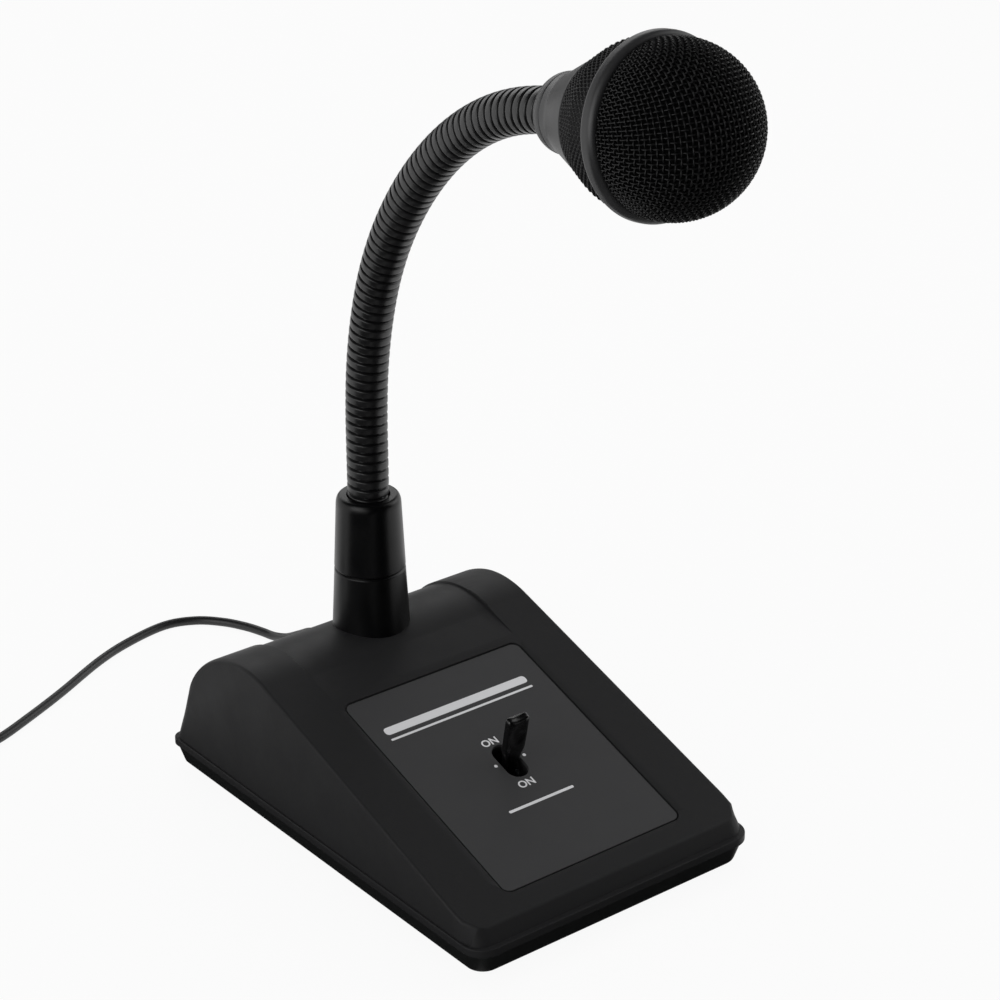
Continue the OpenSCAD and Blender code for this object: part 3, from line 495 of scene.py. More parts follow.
def revolve(profile: Array, matrix: Array, sides: int = 96, ring: bool = True) -> Grid:
    """Carries a profile of (r, z) round the z axis: x = r cos a, y = r sin a.

    Args:
        profile: the profile's points.
        matrix: where the axis lies.
        sides: steps round the axis.
        ring: True if the profile is a closed loop, False if it starts and ends on the axis.

    Returns:
        The surface.
    """
    angle = np.linspace(0, 2 * np.pi, sides, endpoint=False)
    r, z = profile[:, 0, None], profile[:, 1, None]
    points = np.stack([r * np.cos(angle), r * np.sin(angle), z + 0 * angle], -1)
    return Grid(placed(points, matrix), close_rows=ring)


def rectangles(levels: Sequence[Sequence[float]], arc: int = 9, rear: Sequence[float] | None = None) -> Array:
    """Rounded rectangles, one for each level.

    Every corner is a quarter circle of the level's radius about (half width - r, half depth - r).

    Args:
        levels: half width, half depth, corner radius and height of each level.
        arc: points on each corner.
        rear: other radii for the two rear corners, one for each level.

    Returns:
        Points by level and by place on the outline.
    """
    w, d, r, z = (np.asarray(levels, float)[:, k, None] for k in range(4))
    quarter = np.arange(4).repeat(arc)
    angle = (quarter + np.tile(np.linspace(0, 1, arc), 4)) * np.pi / 2
    sx = np.array([1, -1, -1, 1])[quarter]
    sy = np.array([1, 1, -1, -1])[quarter]
    if rear is not None:
        r = np.where(sy > 0, np.asarray(rear, float)[:, None], r)
    x = sx * (w - r) + r * np.cos(angle)
    y = sy * (d - r) + r * np.sin(angle)
    return np.stack([x, y, z + 0 * x], -1)


def tube(path: Array, radius: float, sides: int) -> Grid:
    """Carries a circle along a path that never runs straight up.

    The ring at each point is centre + r (cos a * side + sin a * over), where side is level and square to the
    path, and over is square to both. The ends close on the path's own end points.

    Args:
        path: the centre line's points.
        radius: the circle's radius.
        sides: points on each ring.

    Returns:
        The closed tube.
    """
    heading = np.gradient(path, axis=0)
    heading /= np.linalg.norm(heading, axis=1, keepdims=True)
    side = np.cross(heading, UP)
    side /= np.linalg.norm(side, axis=1, keepdims=True)
    over = np.cross(side, heading)
    angle = np.linspace(0, 2 * np.pi, sides, endpoint=False)[None, :, None]
    rings = path[:, None] + radius * (np.cos(angle) * side[:, None] + np.sin(angle) * over[:, None])
    caps = [np.repeat(path[k][None, None], sides, 1) for k in (0, -1)]
    return Grid(np.concatenate([caps[0], rings, caps[1]]))


def smooth_path(points: Sequence[Sequence[float]], steps: int) -> Array:
    """A curve through points.

    Between two points B and C, with A before and D after, it is the cubic
    0.5 (2B + (C-A) t + (2A-5B+4C-D) t^2 + (3B-A-3C+D) t^3).

    Args:
        points: the points.
        steps: steps between neighbours.

    Returns:
        The curve's points.
    """
    p = np.asarray(points, float)
    a, b, c, d = (np.concatenate([p[:1], p, p[-1:]])[k : k + len(p) - 1, None] for k in range(4))
    t = (np.arange(steps) / steps)[None, :, None]
    curve = 0.5 * (2 * b + (c - a) * t + (2 * a - 5 * b + 4 * c - d) * t**2 + (3 * b - a - 3 * c + d) * t**3)
    return np.concatenate([curve.reshape(-1, 3), p[-1:]])


def cut(piece: bpy.types.Object, grid: Grid) -> None:
    """Cuts a closed grid out of a piece and keeps the result as the piece's mesh.

    Args:
        piece: the piece that changes.
        grid: the solid to cut out.
    """
    other = make_piece("cut_tool", [grid])
    piece.modifiers.clear()
    step = piece.modifiers.new("cut", "BOOLEAN")
    step.object = other
    step.operation = "DIFFERENCE"
    step.solver = "EXACT"
    graph = bpy.context.evaluated_depsgraph_get()
    mesh = bpy.data.meshes.new_from_object(piece.evaluated_get(graph))
    mesh.name = piece.name
    piece.modifiers.clear()
    old = piece.data
    piece.data = mesh
    bpy.data.meshes.remove(old)
    tool_mesh = other.data
    bpy.data.objects.remove(other)
    bpy.data.meshes.remove(tool_mesh)


@dataclass
class Studio:
    """The camera at the photograph's place, a pale floor and soft light from four sides, in metres."""

    camera_at: tuple[float, float, float] = (-0.524601, -0.692284, 0.531596)
    right: tuple[float, float, float] = (0.784418, -0.620227, -0.0026995)
    up: tuple[float, float, float] = (0.265447, 0.331779, 0.905241)
    lens: float = 101.91
    sensor: float = 36.0
    nearest: float = 0.01
    floor_half: float = 9000.0  # millimetres
    white: str = "#fdfdfd"
    white_share: float = 0.95
    dim: float = 0.3
    aim_z: float = 0.12
    cloth_z: float = 0.0004
    cloth_front: float = -1.5
    cloth_rear: float = 0.12

    def camera(self) -> None:
        """Makes the camera: its columns are right, up and against the view."""
        data = bpy.data.cameras.new("camera")
        data.sensor_width = self.sensor
        data.lens = self.lens
        data.clip_start = self.nearest
        made = add_object("camera", data)
        back = np.cross(self.right, self.up)
        matrix = np.eye(4)
        matrix[:3, :3] = np.array([self.right, self.up, back]).T
        matrix[:3, 3] = self.camera_at
        made.matrix_world = Matrix(matrix.tolist())
        bpy.context.scene.camera = made

    def floor(self) -> None:
        """A wide floor: a matt pale surface that the camera and reflections see mostly as plain white."""
        corners = np.array([[-1, -1, 0], [1, -1, 0], [1, 1, 0], [-1, 1, 0]], float) * self.floor_half
        mesh = bpy.data.meshes.new("floor")
        mesh.from_pydata((corners * MM).tolist(), [], [(0, 1, 2, 3)])
        made = add_object("floor", mesh)
        paint = blank_material("white studio floor")
        tree = paint.node_tree
        links = {0: self._seen(tree), 1: self.white_share}
        share = add_node(tree, "ShaderNodeMath", {"operation": "MULTIPLY"}, links)
        matt = add_node(tree, "ShaderNodeBsdfDiffuse", None, {"Color": linear("#f0f0f0")})
        white = add_node(tree, "ShaderNodeEmission", None, {"Color": linear(self.white), "Strength": 1.0})
        links = {0: share.outputs[0], 1: matt.outputs[0], 2: white.outputs[0]}
        both = add_node(tree, "ShaderNodeMixShader", None, links)
        add_node(tree, "ShaderNodeOutputMaterial", None, {"Surface": both.outputs[0]})
        mesh.materials.append(paint)

    def _seen(self, tree: bpy.types.NodeTree) -> bpy.types.NodeSocket:
        """A socket that is 1 for what is seen directly, mirrored or through glass, and 0 for light."""
        path = add_node(tree, "ShaderNodeLightPath")
        total = path.outputs["Is Camera Ray"]
        for name in ("Is Glossy Ray", "Is Transmission Ray"):
            links = {0: total, 1: path.outputs[name]}
            total = add_node(tree, "ShaderNodeMath", {"operation": "MAXIMUM"}, links).outputs[0]
        return total

    def world(self) -> None:
        """White all round for the eye, and a lower even light for the surfaces."""
        made = bpy.data.worlds.new("studio")
        bpy.context.scene.world = made
        made.use_nodes = True
        tree = made.node_tree
        tree.nodes.clear()
        links = {"Value": self._seen(tree), "To Min": self.dim, "To Max": 1.0}
        power = add_node(tree, "ShaderNodeMapRange", None, links)
        links = {"Color": linear(self.white), "Strength": power.outputs["Result"]}
        back = add_node(tree, "ShaderNodeBackground", None, links)
        add_node(tree, "ShaderNodeOutputWorld", None, {"Surface": back.outputs[0]})

    def lamp(
        self, name: str, at: Sequence[float], size: tuple[float, float], watts: float, mirrored: bool = True
    ) -> None:
        """One soft box that looks at the middle of the microphone.

        Args:
            name: the lamp's name.
            at: its place in metres.
            size: its width and height in metres.
            watts: its power.
            mirrored: whether glossy surfaces show it.
        """
        data = bpy.data.lights.new(name, "AREA")
        data.shape = "RECTANGLE"
        data.size, data.size_y = size
        data.energy = watts
        made = add_object(name, data)
        aim = self.aim_z * UP - np.asarray(at, float)
        made.matrix_world = Matrix.Translation(at) @ _looking(aim)
        made.visible_glossy = mirrored

    def dark_card(
        self, name: str, corners: Sequence[tuple[float, float, float]], colour: str = "#161616"
    ) -> None:
        """A card that only reflections see, which keeps the surfaces that mirror it dark.

        Args:
            name: the card's name.
            corners: its four corners in metres.
            colour: its colour, as an sRGB hex value.
        """
        mesh = bpy.data.meshes.new(name)
        mesh.from_pydata(list(corners), [], [(0, 1, 2, 3)])
        made = add_object(name, mesh)
        paint = blank_material(name)
        tree = paint.node_tree
        matt = add_node(tree, "ShaderNodeBsdfDiffuse", None, {"Color": linear(colour)})
        add_node(tree, "ShaderNodeOutputMaterial", None, {"Surface": matt.outputs[0]})
        mesh.materials.append(paint)
        made.visible_camera = False
        made.visible_diffuse = False
        made.visible_transmission = False
        made.visible_shadow = False

    def cloth(self, left: float, right: float) -> list[tuple[float, float, float]]:
        """The corners of a cloth that lies on the floor beside the base, from one x to another."""
        front, rear, z = self.cloth_front, self.cloth_rear, self.cloth_z
        return [(left, front, z), (right, front, z), (right, rear, z), (left, rear, z)]

    def build(self) -> None:
        """Sets up the floor, the world, the lamps, and the cards and cloths that keep reflections dark."""
        self.floor()
        self.world()
        self.lamp("left soft box", (-1.13, -0.2, 0.7), (0.9, 1.1), 5.0)
        self.lamp("right soft box", (1.1, -0.35, 0.7), (0.9, 1.1), 3.6)
        self.lamp("top soft box", (0.1, 0.25, 1.5), (1.2, 1.2), 6.0, mirrored=False)
        self.lamp("rear soft box", (0.6, 1.2, 0.8), (1.2, 0.9), 3.6)
        low, far = self.cloth_z, self.cloth_front
        cards = {
            "card overhead": [(-2.6, -2.6, 1.6), (2.6, -2.6, 1.6), (2.6, 2.6, 1.6), (-2.6, 2.6, 1.6)],
            "card in front": [(-1.3, -1.5, 0.0), (2.6, -1.5, 0.0), (2.6, -1.5, 1.6), (-1.3, -1.5, 1.6)],
            "card behind": [(0.2, 1.6, 0.0), (1.9, 1.6, 0.0), (1.9, 1.6, 0.75), (0.2, 1.6, 0.75)],
            "cloth far left": self.cloth(-1.5, -0.14),
            "cloth at the left": self.cloth(-0.076, -0.057),
            "cloth in front": [
                (-0.057, far, low), (1.0, far, low), (0.06, -0.088, low), (-0.057, -0.088, low)
            ],
        }
        for name, corners in cards.items():
            self.dark_card(name, corners)
        self.dark_card("grey cloth on the left", self.cloth(-0.14, -0.076), "#b8b8b8")
        bpy.context.scene.view_settings.view_transform = "Standard"


def _looking(aim: Array) -> Matrix:
    """The turn that points a lamp along a direction."""
    back = -aim / np.linalg.norm(aim)
    side = np.cross(UP, back) if abs(back[2]) < 0.99 else np.array([1.0, 0.0, 0.0])
    side /= np.linalg.norm(side)
    turn = np.eye(4)
    turn[:3, :3] = np.array([side, np.cross(back, side), back]).T
    return Matrix(turn.tolist())


@dataclass
class Cord:
    """The thin cord behind the base: its lead, its tied coil and its plug, in millimetres and degrees."""

    diameter: float = 3.5
    exit: tuple[float, float, float] = (24.0, 107.8, 17.0)
    length: float = 1781.2
    coil_centre: tuple[float, float] = (-134.0, 169.0)
    coil_turns: float = 11.0
    coil_inner: float = 10.0
    coil_pitch: float = 4.0
    coil_start: float = -67.5
    coil_low: float = 2.65
    plug_from: tuple[float, float, float] = (-148.159, 203.184, 6.0)
    plug_radius: float = 6.0
    plug_length: float = 26.0
    relief_from: float = 79.9
    relief_l: float = 14.0
    relief_r: float = 4.0
    relief_taper: float = 1.4
    relief_groove: float = 0.55
    relief_grooves: int = 5
    flange_r: float = 5.5
    grip: float = 0.35
    grips: int = 8
    tie_turn: float = 30.0
    tie_at: float = 20.85
    tail_out: float = 5.0
    turn_steps: int = 32
    smooth_steps: int = 6
    lead_points: list[tuple[float, float, float]] = field(
        default_factory=lambda: [
            (24.0, 123.0, 15.0),
            (24.0, 131.0, 10.5),
            (24.0, 140.0, 5.5),
            (23.8, 149.0, 2.4),
            (22.6, 156.0, 1.95),
            (20.0, 164.0, 1.85),
            (15.0, 173.0, 1.85),
            (7.0, 181.0, 1.85),
            (-5.0, 185.0, 1.85),
            (-23.0, 182.0, 1.85),
            (-41.0, 175.5, 1.85),
            (-66.0, 162.5, 1.85),
            (-85.0, 153.5, 1.85),
            (-101.0, 146.5, 2.0),
        ]
    )

    def coil(self, turns: Array) -> Array:
        """Points of the coil after some turns.

        It winds in on the desk, climbs a layer in half a turn and winds out again: the radius is the inner
        one plus the pitch times the turns from the middle.

        Args:
            turns: turns from the coil's start.

        Returns:
            The points.
        """
        middle = self.coil_turns / 2
        r = self.coil_inner + self.coil_pitch * np.abs(turns - middle)
        angle = np.radians(self.coil_start - 360 * turns)
        climb = np.clip(2 * (turns - middle) + 0.5, 0, 1)
        x = self.coil_centre[0] + r * np.cos(angle)
        y = self.coil_centre[1] + r * np.sin(angle)
        return np.stack([x, y, self.coil_low + self.coil_pitch * climb], -1)

    def tail(self, part: Array, high: float) -> Array:
        """Points of the tail, which runs half-way round the coil and down to the desk.

        Args:
            part: the share of the tail, from 0 to 1.
            high: the height at which it leaves the coil.

        Returns:
            The points.
        """
        angle = np.radians(self.coil_start - 180 * part)
        r = self.coil_inner + self.coil_pitch * self.coil_turns / 2 + self.tail_out * (1 - (1 - part) ** 2)
        drop = np.clip((part - 0.25) / 0.4, 0, 1)
        z = high - (high - self.diameter / 2 - 0.45) * drop**2 * (3 - 2 * drop)
        x = self.coil_centre[0] + r * np.cos(angle)
        y = self.coil_centre[1] + r * np.sin(angle)
        return np.stack([x, y, z], -1)

    def path(self) -> Array:
        """The whole centre line, from the strain relief to the plug."""
        step = self.diameter
        turn = math.radians(self.coil_start)
        head = np.array([math.sin(turn), -math.cos(turn), 0.0])
        start = np.array(self.exit)
        away = np.array([0.0, step, 0.0])
        turns = np.linspace(0, self.coil_turns, int(self.coil_turns * self.turn_steps) + 1)
        wound = self.coil(turns)
        enter = wound[0] - step * head
        leave = wound[-1] + step * head
        lead = [start, start + away, start + 2 * away, *self.lead_points]
        lead += [enter - 2 * step * head, enter - step * head, enter]
        plug = np.array(self.plug_from)
        tail = [leave, leave + step * head, leave + 2 * step * head]
        tail += list(self.tail(np.arange(3, 12) / 14, leave[2]))
        tail += [plug + 2 * step * head, plug + step * head, plug]
        ends = [smooth_path(points, self.smooth_steps) for points in (lead, tail)]
        return np.concatenate([ends[0], wound, ends[1]])

    def build(self) -> None:
        path = self.path()
        cord = make_piece("cord", [tube(path, self.diameter / 2, 12)], sharp=60)
        dress(cord, CORD_VINYL, "base", ["cord_lead", "cord_coil", "cord_tail"])
        handle = self.handle()
        contact = self.contact()
        insulator = self.insulator()
        tie = self.tie()
        measured = float(np.linalg.norm(np.diff(path, axis=0), axis=1).sum())
        LOG.info("cord length: %.1f mm", measured)
        self.relief()

    def relief(self) -> None:
        """The strain relief: flanges on both sides of the cover's wall and a taper with flexing grooves."""
        out = self.exit[1] - self.relief_l
        along = np.linspace(0, 1, 61)
        wave = 0.5 - 0.5 * np.cos(2 * np.pi * self.relief_grooves * along)
        grooved = (along > 0.08) * (along < 0.94)
        taper = self.relief_r - self.relief_taper * along - self.relief_groove * wave * grooved
        outside = np.stack([taper, out + self.relief_l * along], -1)
        back, r, wide = self.relief_from, self.relief_r, self.flange_r
        flange = rounded(
            [(0, back), (wide, back), (wide, back + 2), (r, back + 2),
             (r, out - 2), (wide - 0.3, out - 2), (wide - 0.3, out), (r, out)],
            [0, 0.4, 0.3, 0.1, 0.1, 0.4, 0.4, 0.1],
        )
        profile = np.concatenate([flange, outside, [[0.0, self.exit[1]]]])
        grid = revolve(profile, turned(-90, (self.exit[0], 0, self.exit[2])), 64, ring=False)
        piece = make_piece("strain_relief_sleeve", [grid], sharp=50)
        dress(piece, RUBBER, "base", ["strain_relief"])

    def plug_frame(self) -> Array:
        """The placing matrix whose z axis runs along the plug."""
        turn = math.radians(self.coil_start - 180)
        axis = np.array([math.sin(turn), -math.cos(turn), 0.0])
        matrix = np.eye(4)
        matrix[:3, :3] = np.array([np.cross([0.0, 0.0, 1.0], axis), [0.0, 0.0, 1.0], axis]).T
        matrix[:3, 3] = self.plug_from
        return matrix

    def handle(self) -> bpy.types.Object:
        """The plug's handle: a cone behind and a barrel with eight grip grooves."""
        along = np.linspace(0, 1, 81)
        r, length = self.plug_radius, self.plug_length
        wave = 0.5 - 0.5 * np.cos(2 * np.pi * self.grips * along)
        grip = self.grip * wave * (along > 0.06) * (along < 0.94)
        barrel = np.stack([r - grip, length * (1 / 3 + along * 0.64)], -1)
        back = rounded([(0, 0), (2.75, 0), (r - 0.05, length / 3)], [0, 0.6, 0])
        front = rounded([(r, length * 0.975), (r, length), (0, length)], [0, 0.5, 0])
        grid = revolve(np.concatenate([back, barrel, front]), self.plug_frame(), 72, ring=False)
        return dress(
            make_piece("plug_barrel", [grid], sharp=50), TIE_NYLON, "base", ["plug_handle"]
        )

    def contact(self) -> bpy.types.Object:
        """The plug's contact: a collar, a sleeve, a groove for the insulator and a pointed tip."""
        points = [(0, 0), (4.57, 0), (4.57, 2), (3.175, 2), (3.175, 21.6), (2.575, 22), (2.575, 22.8),
                  (3.175, 23.4), (3.175, 25), (2.075, 26.6), (3.175, 28), (2.375, 29.6), (1.175, 30), (0, 30)]
        cuts = [0, 0.3, 0.3, 0.1, 0.1, 0.1, 0.1, 0.1, 0.5, 0.8, 0.8, 0.5, 0.4, 0]
        profile = rounded(points, cuts) + np.array([0, self.plug_length])
        grid = revolve(profile, self.plug_frame(), 64, ring=False)
        return dress(
            make_piece("plug_pin", [grid], sharp=50), NICKEL, "base", ["plug_contact"]
        )

    def insulator(self) -> bpy.types.Object:
        """The black ring that parts the plug's tip from its sleeve."""
        points = np.array([(2.5, 21.9), (3.1, 21.7), (3.1, 23.3), (2.5, 22.9)])
        profile = rounded(points + np.array([0, self.plug_length]), 0.1)
        grid = revolve(profile, self.plug_frame(), 64)
        return dress(make_piece("plug_insulator", [grid]), TIE_NYLON, "base")

    def tie(self) -> bpy.types.Object:
        """The strap round the coil: a flat band carried round a rounded rectangle in an upright plane."""
        half_w, half_h, thick, wide = 13.8, 4.65, 0.6, 5.0
        outer = rectangles([(half_w, half_h, 1.6, 0)])[0]
        inner = rectangles([(half_w - thick, half_h - thick, 1.1, 0)])[0]
        loops = np.stack([outer, outer, inner, inner])
        loops[:, :, 2] = np.array([-wide / 2, wide / 2, wide / 2, -wide / 2])[:, None]
        upright = np.stack([loops[..., 0] + self.tie_at, loops[..., 2], loops[..., 1] + half_h], -1)
        turn = np.eye(4)
        turn[:3, :3] = np.array(Matrix.Rotation(math.radians(self.tie_turn), 3, "Z"))
        turn[:3, 3] = (*self.coil_centre, 0.0)
        grid = Grid(placed(upright, turn), close_rows=True)
        return dress(make_piece("coil_strap", [grid]), TIE_NYLON, "base", ["cord_tie"])


@dataclass
class Base:
    """The weighted base: a wedge cover, a sunk label, a pan and four feet, in millimetres and degrees."""

    half_w: float = 59.8
    half_d: float = 90.8
    rim_z: float = 10.5
    front_h: float = 8.6
    front_lean: float = 26.0
    slope: float = 18.3
    rear_lean: float = 21.0
    crest_r: float = 40.0
    draft: float = 1.85
    corner: float = 7.3
    rear_corner: float = 3.3
    edge: float = 1.1
    wall: float = 3.2
    lip_out: float = 0.7
    lip_h: float = 3.0
    pad_w: float = 80.0
    pad_sink: float = 0.8
    pad_wall: float = 0.25
    pad_run: float = 14.0
    pad_from: float = 108.2
    pad_end: float = 30.0
    label_w: float = 76.0
    label_l: float = 95.3
    label_from: float = 8.9
    label_sink: float = 0.15
    label_t: float = 1.35
    switch_at: float = 48.3
    neck_back: float = 3.8
    foot_h: float = 2.5
    foot_at: tuple[float, float] = (38.5, 72.0)
    screw_at: tuple[float, float] = (48.5, 50.0)
    cord_at: tuple[float, float] = (24.0, 17.0)
    top_corner: float = 1.2
    fade_z: float = 46.0
    fade_run: float = 22.0
    slot_w: float = 4.3
    slot_l: float = 8.1
    neck_hole: float = 6.1
    cord_hole: float = 4.1
    label_r: float = 3.0
    label_gap: float = 0.62
    brim: float = 0.06
    tray_lean: float = 2.2 / 8.0
    tray_wall: float = 3.0
    bore_r: float = 3.1
    bore_h: float = 1.62
    foot_r: float = 6.0
    ink_low: float = -0.02
    ink_high: float = 0.04
    mark_size: float = 4.3
    mark_x: float = -1.2
    marks: tuple[tuple[str, float], ...] = (("mark_rear", 58.5), ("mark_front", 37.1))
    dot_x: float = 6.2
    dot_r: float = 0.65
    stripes: tuple[tuple[float, float, float, float], ...] = (
        (-1.0, 78.6, 31.0, 1.7),
        (-1.0, 74.6, 31.0, 0.45),
        (-1.2, 28.6, 14.0, 0.55),
    )

    @property
    def slope_n(self) -> Array:
        """The slope's outward direction in the side view."""
        return np.array([-math.sin(math.radians(self.slope)), math.cos(math.radians(self.slope))])

    @property
    def rear_n(self) -> Array:
        """The rear wall's outward direction in the side view."""
        return np.array([math.cos(math.radians(self.rear_lean)), math.sin(math.radians(self.rear_lean))])

    @property
    def front_n(self) -> Array:
        """The front face's outward direction in the side view."""
        return np.array([-math.cos(math.radians(self.front_lean)), math.sin(math.radians(self.front_lean))])

    @property
    def front_top(self) -> Array:
        """The edge between the front face and the slope, as (y, z)."""
        return np.array([-self.half_d + self.front_h * math.tan(math.radians(self.front_lean)),
                         self.rim_z + self.front_h])

    @property
    def crest_c(self) -> Array:
        """The centre of the crest's round, where both tangent lines lie one radius away."""
        lines = np.array([self.slope_n, self.rear_n])
        reach = [self.slope_n @ self.front_top, self.rear_n @ np.array([self.half_d, self.rim_z])]
        return np.linalg.solve(lines, np.array(reach) - self.crest_r)

    @property
    def neck_y(self) -> float:
        """The place of the neck's axis, a little behind the centre of the crest's round."""
        return float(self.crest_c[0]) + self.neck_back

    def on_slope(self, along: float = 0.0, across: float = 0.0) -> Array:
        """The placing matrix of the slope, at a distance behind its front edge."""
        turn = math.radians(self.slope)
        y, z = self.front_top + along * np.array([math.cos(turn), math.sin(turn)])
        return turned(self.slope, (across, y, z))

    def profile(self, inset: float, low: float) -> Array:
        """The cover's side view, from its front foot over the crest to its rear foot.

        Straight front face, a rounded edge, the straight slope, an arc and the straight rear wall.

        Args:
            inset: how far it is drawn in.
            low: the height at which it starts and ends.

        Returns:
            Points (y, z) in order.
        """
        level = np.array([0.0, 1.0])
        front_d = self.front_n @ self.front_top - inset
        slope_d = self.slope_n @ self.front_top - inset
        rear_d = self.rear_n @ np.array([self.half_d, self.rim_z]) - inset
        foot = np.linalg.solve([self.front_n, level], [front_d, low])
        top = np.linalg.solve([self.front_n, self.slope_n], [front_d, slope_d])
        heel = np.linalg.solve([self.rear_n, level], [rear_d, low])
        r = self.crest_r - inset
        up = top + (foot - top) / np.linalg.norm(foot - top) * self.edge
        t = np.linspace(0, 1, 8)[:, None]
        begin = self.crest_c + r * self.slope_n
        on = top + (begin - top) / np.linalg.norm(begin - top) * self.edge
        bend = (1 - t) ** 2 * up + 2 * t * (1 - t) * top + t**2 * on
        arc = np.radians(np.linspace(90 + self.slope, self.rear_lean, 40))
        crest = self.crest_c + r * np.stack([np.cos(arc), np.sin(arc)], -1)
        rise = foot + np.linspace(0, 1, 9)[:-1, None] * (up - foot)
        run = on + np.linspace(0, 1, 26)[1:-1, None] * (begin - on)
        fall = crest[-1] + np.linspace(0, 1, 13)[1:, None] * (heel - crest[-1])
        return np.concatenate([rise, bend, run, crest, fall])

    def skin(self, inset: float, low: float) -> Array:
        """One skin of the cover: upright sections across the base, one at each point of the side view.

        A section's half width at height z is the side wall's, less its draft, less r - sqrt(r^2 - e^2) where
        it runs e deep into a rounded corner. Near the top it is drawn in by a quarter circle, which rounds
        the edge.

        Args:
            inset: how far the skin is drawn in.
            low: the height of its foot.

        Returns:
            Points by section and by place across it.
        """
        line = self.profile(inset, low)
        y, high = line[:, 0, None], line[:, 1, None]
        tall = high - low
        front = (y - line[0, 0]) / (self.front_top[0] - line[0, 0] + 4)
        round_r = np.minimum(self.edge, 0.5 * tall) * np.clip(front, 0.1, 1)
        straight = low + np.linspace(0, 1, 12)[None, :-1] * (tall - round_r)
        angle = np.linspace(0, np.pi / 2, 8)[None, :]
        z = np.concatenate([straight, high - round_r + round_r * np.sin(angle)], 1)
        drawn = np.concatenate([np.zeros_like(straight), round_r * (1 - np.cos(angle))], 1)
        half = self.half_w - inset - (z - self.rim_z) * math.tan(math.radians(self.draft))
        corner = max(self.corner - inset, 2.0)
        rear_corner = max(self.rear_corner - inset, self.top_corner)
        lean = line[0, 0] + (z - low) * math.tan(math.radians(self.front_lean))
        deep = np.clip(corner - (y - lean), 0, corner)
        half = half - (corner - np.sqrt(corner**2 - deep**2))
        peak = int(np.argmax(line[:, 1]))
        rear = np.interp(z, line[peak:, 1][::-1], line[peak:, 0][::-1])
        fade = np.clip((self.fade_z - z) / self.fade_run, 0, 1)
        r = self.top_corner + (rear_corner - self.top_corner) * fade * fade * (3 - 2 * fade)
        deep = np.clip(r - (rear - y), 0, r)
        half = half - (r - np.sqrt(r**2 - deep**2)) - drawn
        side = np.stack([half, y + 0 * half, z], -1)
        across = np.linspace(1, -1, 15)[None, 1:-1] * half[:, -1:]
        top = np.stack([across, y + 0 * across, high + 0 * across], -1)
        other = side[:, ::-1] * np.array([-1.0, 1.0, 1.0])
        return np.concatenate([side, top, other], 1)

    def cover(self) -> None:
        """The cover: two skins joined at the foot, with a sunk pad and a label bed, and its rim band."""
        low = self.rim_z + 0.15
        skins = [self.skin(0.0, low), self.skin(self.wall, low)]
        rows, columns = skins[0].shape[:2]
        index = np.arange(rows * columns).reshape(rows, columns)
        cells = cells_of(index)
        loop = np.concatenate([index[0], index[1:, -1], index[-1, -2::-1], index[-2:0:-1, 0]])
        shift = rows * columns
        strip = np.stack([loop, loop + shift, np.roll(loop, -1) + shift, np.roll(loop, -1)], -1)
        points = np.concatenate([skin.reshape(-1, 3) for skin in skins])
        whole = facing_out(points, np.concatenate([cells, cells[:, ::-1] + shift, strip]))
        piece = make_mesh("cover_shell", points, whole)
        self._fix_strip(piece)
        cut(piece, self.pad())
        cut(piece, self.recess())
        for grid in self.holes():
            cut(piece, grid)
        shade(piece, 30)
        dress(piece, COVER_ABS, "base", ["top_cover"])
        dress(make_piece("cover_rim", [self.lip()]), COVER_ABS, "base")

    def _fix_strip(self, piece: bpy.types.Object) -> None:
        """Makes the faces of a closed mesh agree on which side is out."""
        work = bmesh.new()
        work.from_mesh(piece.data)
        bmesh.ops.recalc_face_normals(work, faces=work.faces)
        work.to_mesh(piece.data)
        work.free()

    def lip(self) -> Grid:
        """The rim band that stands out from the cover's walls all round."""
        out, z0, z1 = self.lip_out, self.rim_z, self.rim_z + self.lip_h
        section = rounded([(-3, z0), (0, z0), (0, z1), (-3, z1)], [0, 0.35, 0.5, 0])
        w, d, r = self.half_w + out, self.half_d + out, self.corner + out
        levels = [(w + x, d + x, r + x, z) for x, z in section]
        rear = [max(self.rear_corner + out + x, 0.8) for x, _ in section]
        return Grid(rectangles(levels, 13, rear), close_rows=True)

    def pad(self) -> Grid:
        """The tool that sinks the pad round the collar: the side view's curve lowered, with steep sides.

        Along it, the floor leaves the slope at a small angle until it lies at the pad's depth. Across it,
        both walls rise steeply to above the cover.

        Returns:
            The closed surface.
        """
        turn = math.radians(self.slope)
        way = np.array([math.cos(turn), math.sin(turn)])
        flat_l = (self.crest_c + self.crest_r * self.slope_n - self.front_top) @ way
        along = np.linspace(self.pad_from - 2.0, flat_l, 40)[:-1, None]
        arc = np.radians(np.linspace(90 + self.slope, self.pad_end, 48))
        out = np.stack([np.cos(arc), np.sin(arc)], -1)
        line = np.concatenate([self.front_top + along * way, self.crest_c + self.crest_r * out])
        normal = np.concatenate([np.repeat(self.slope_n[None], len(along), 0), out])
        wall, above = self.pad_wall, 1.0
        level = np.full(len(line), -self.pad_sink)
        ramp = (self.pad_from - along[:, 0]) * self.pad_sink / self.pad_run
        level[: len(along)] = np.maximum(ramp, -self.pad_sink)
        line = np.concatenate([line[:1] - wall * way, line, line[-1:]])
        normal = np.concatenate([normal[:1], normal, normal[-1:]])
        level = np.concatenate([[above], level, [above]])
        half = self.pad_w / 2
        x = np.array([half + wall, *np.linspace(half, -half, 15), -half - wall])
        rise = np.full(len(x), -self.pad_sink)
        rise[[0, -1]] = above
        height = np.maximum(level[:, None], rise[None, :])
        floor_y = line[:, 0, None] + normal[:, 0, None] * height
        floor_z = line[:, 1, None] + normal[:, 1, None] * height
        floor = np.stack([x[None, :] + 0 * floor_y, floor_y, floor_z], -1)
        lid = line + 2.0 * above * normal
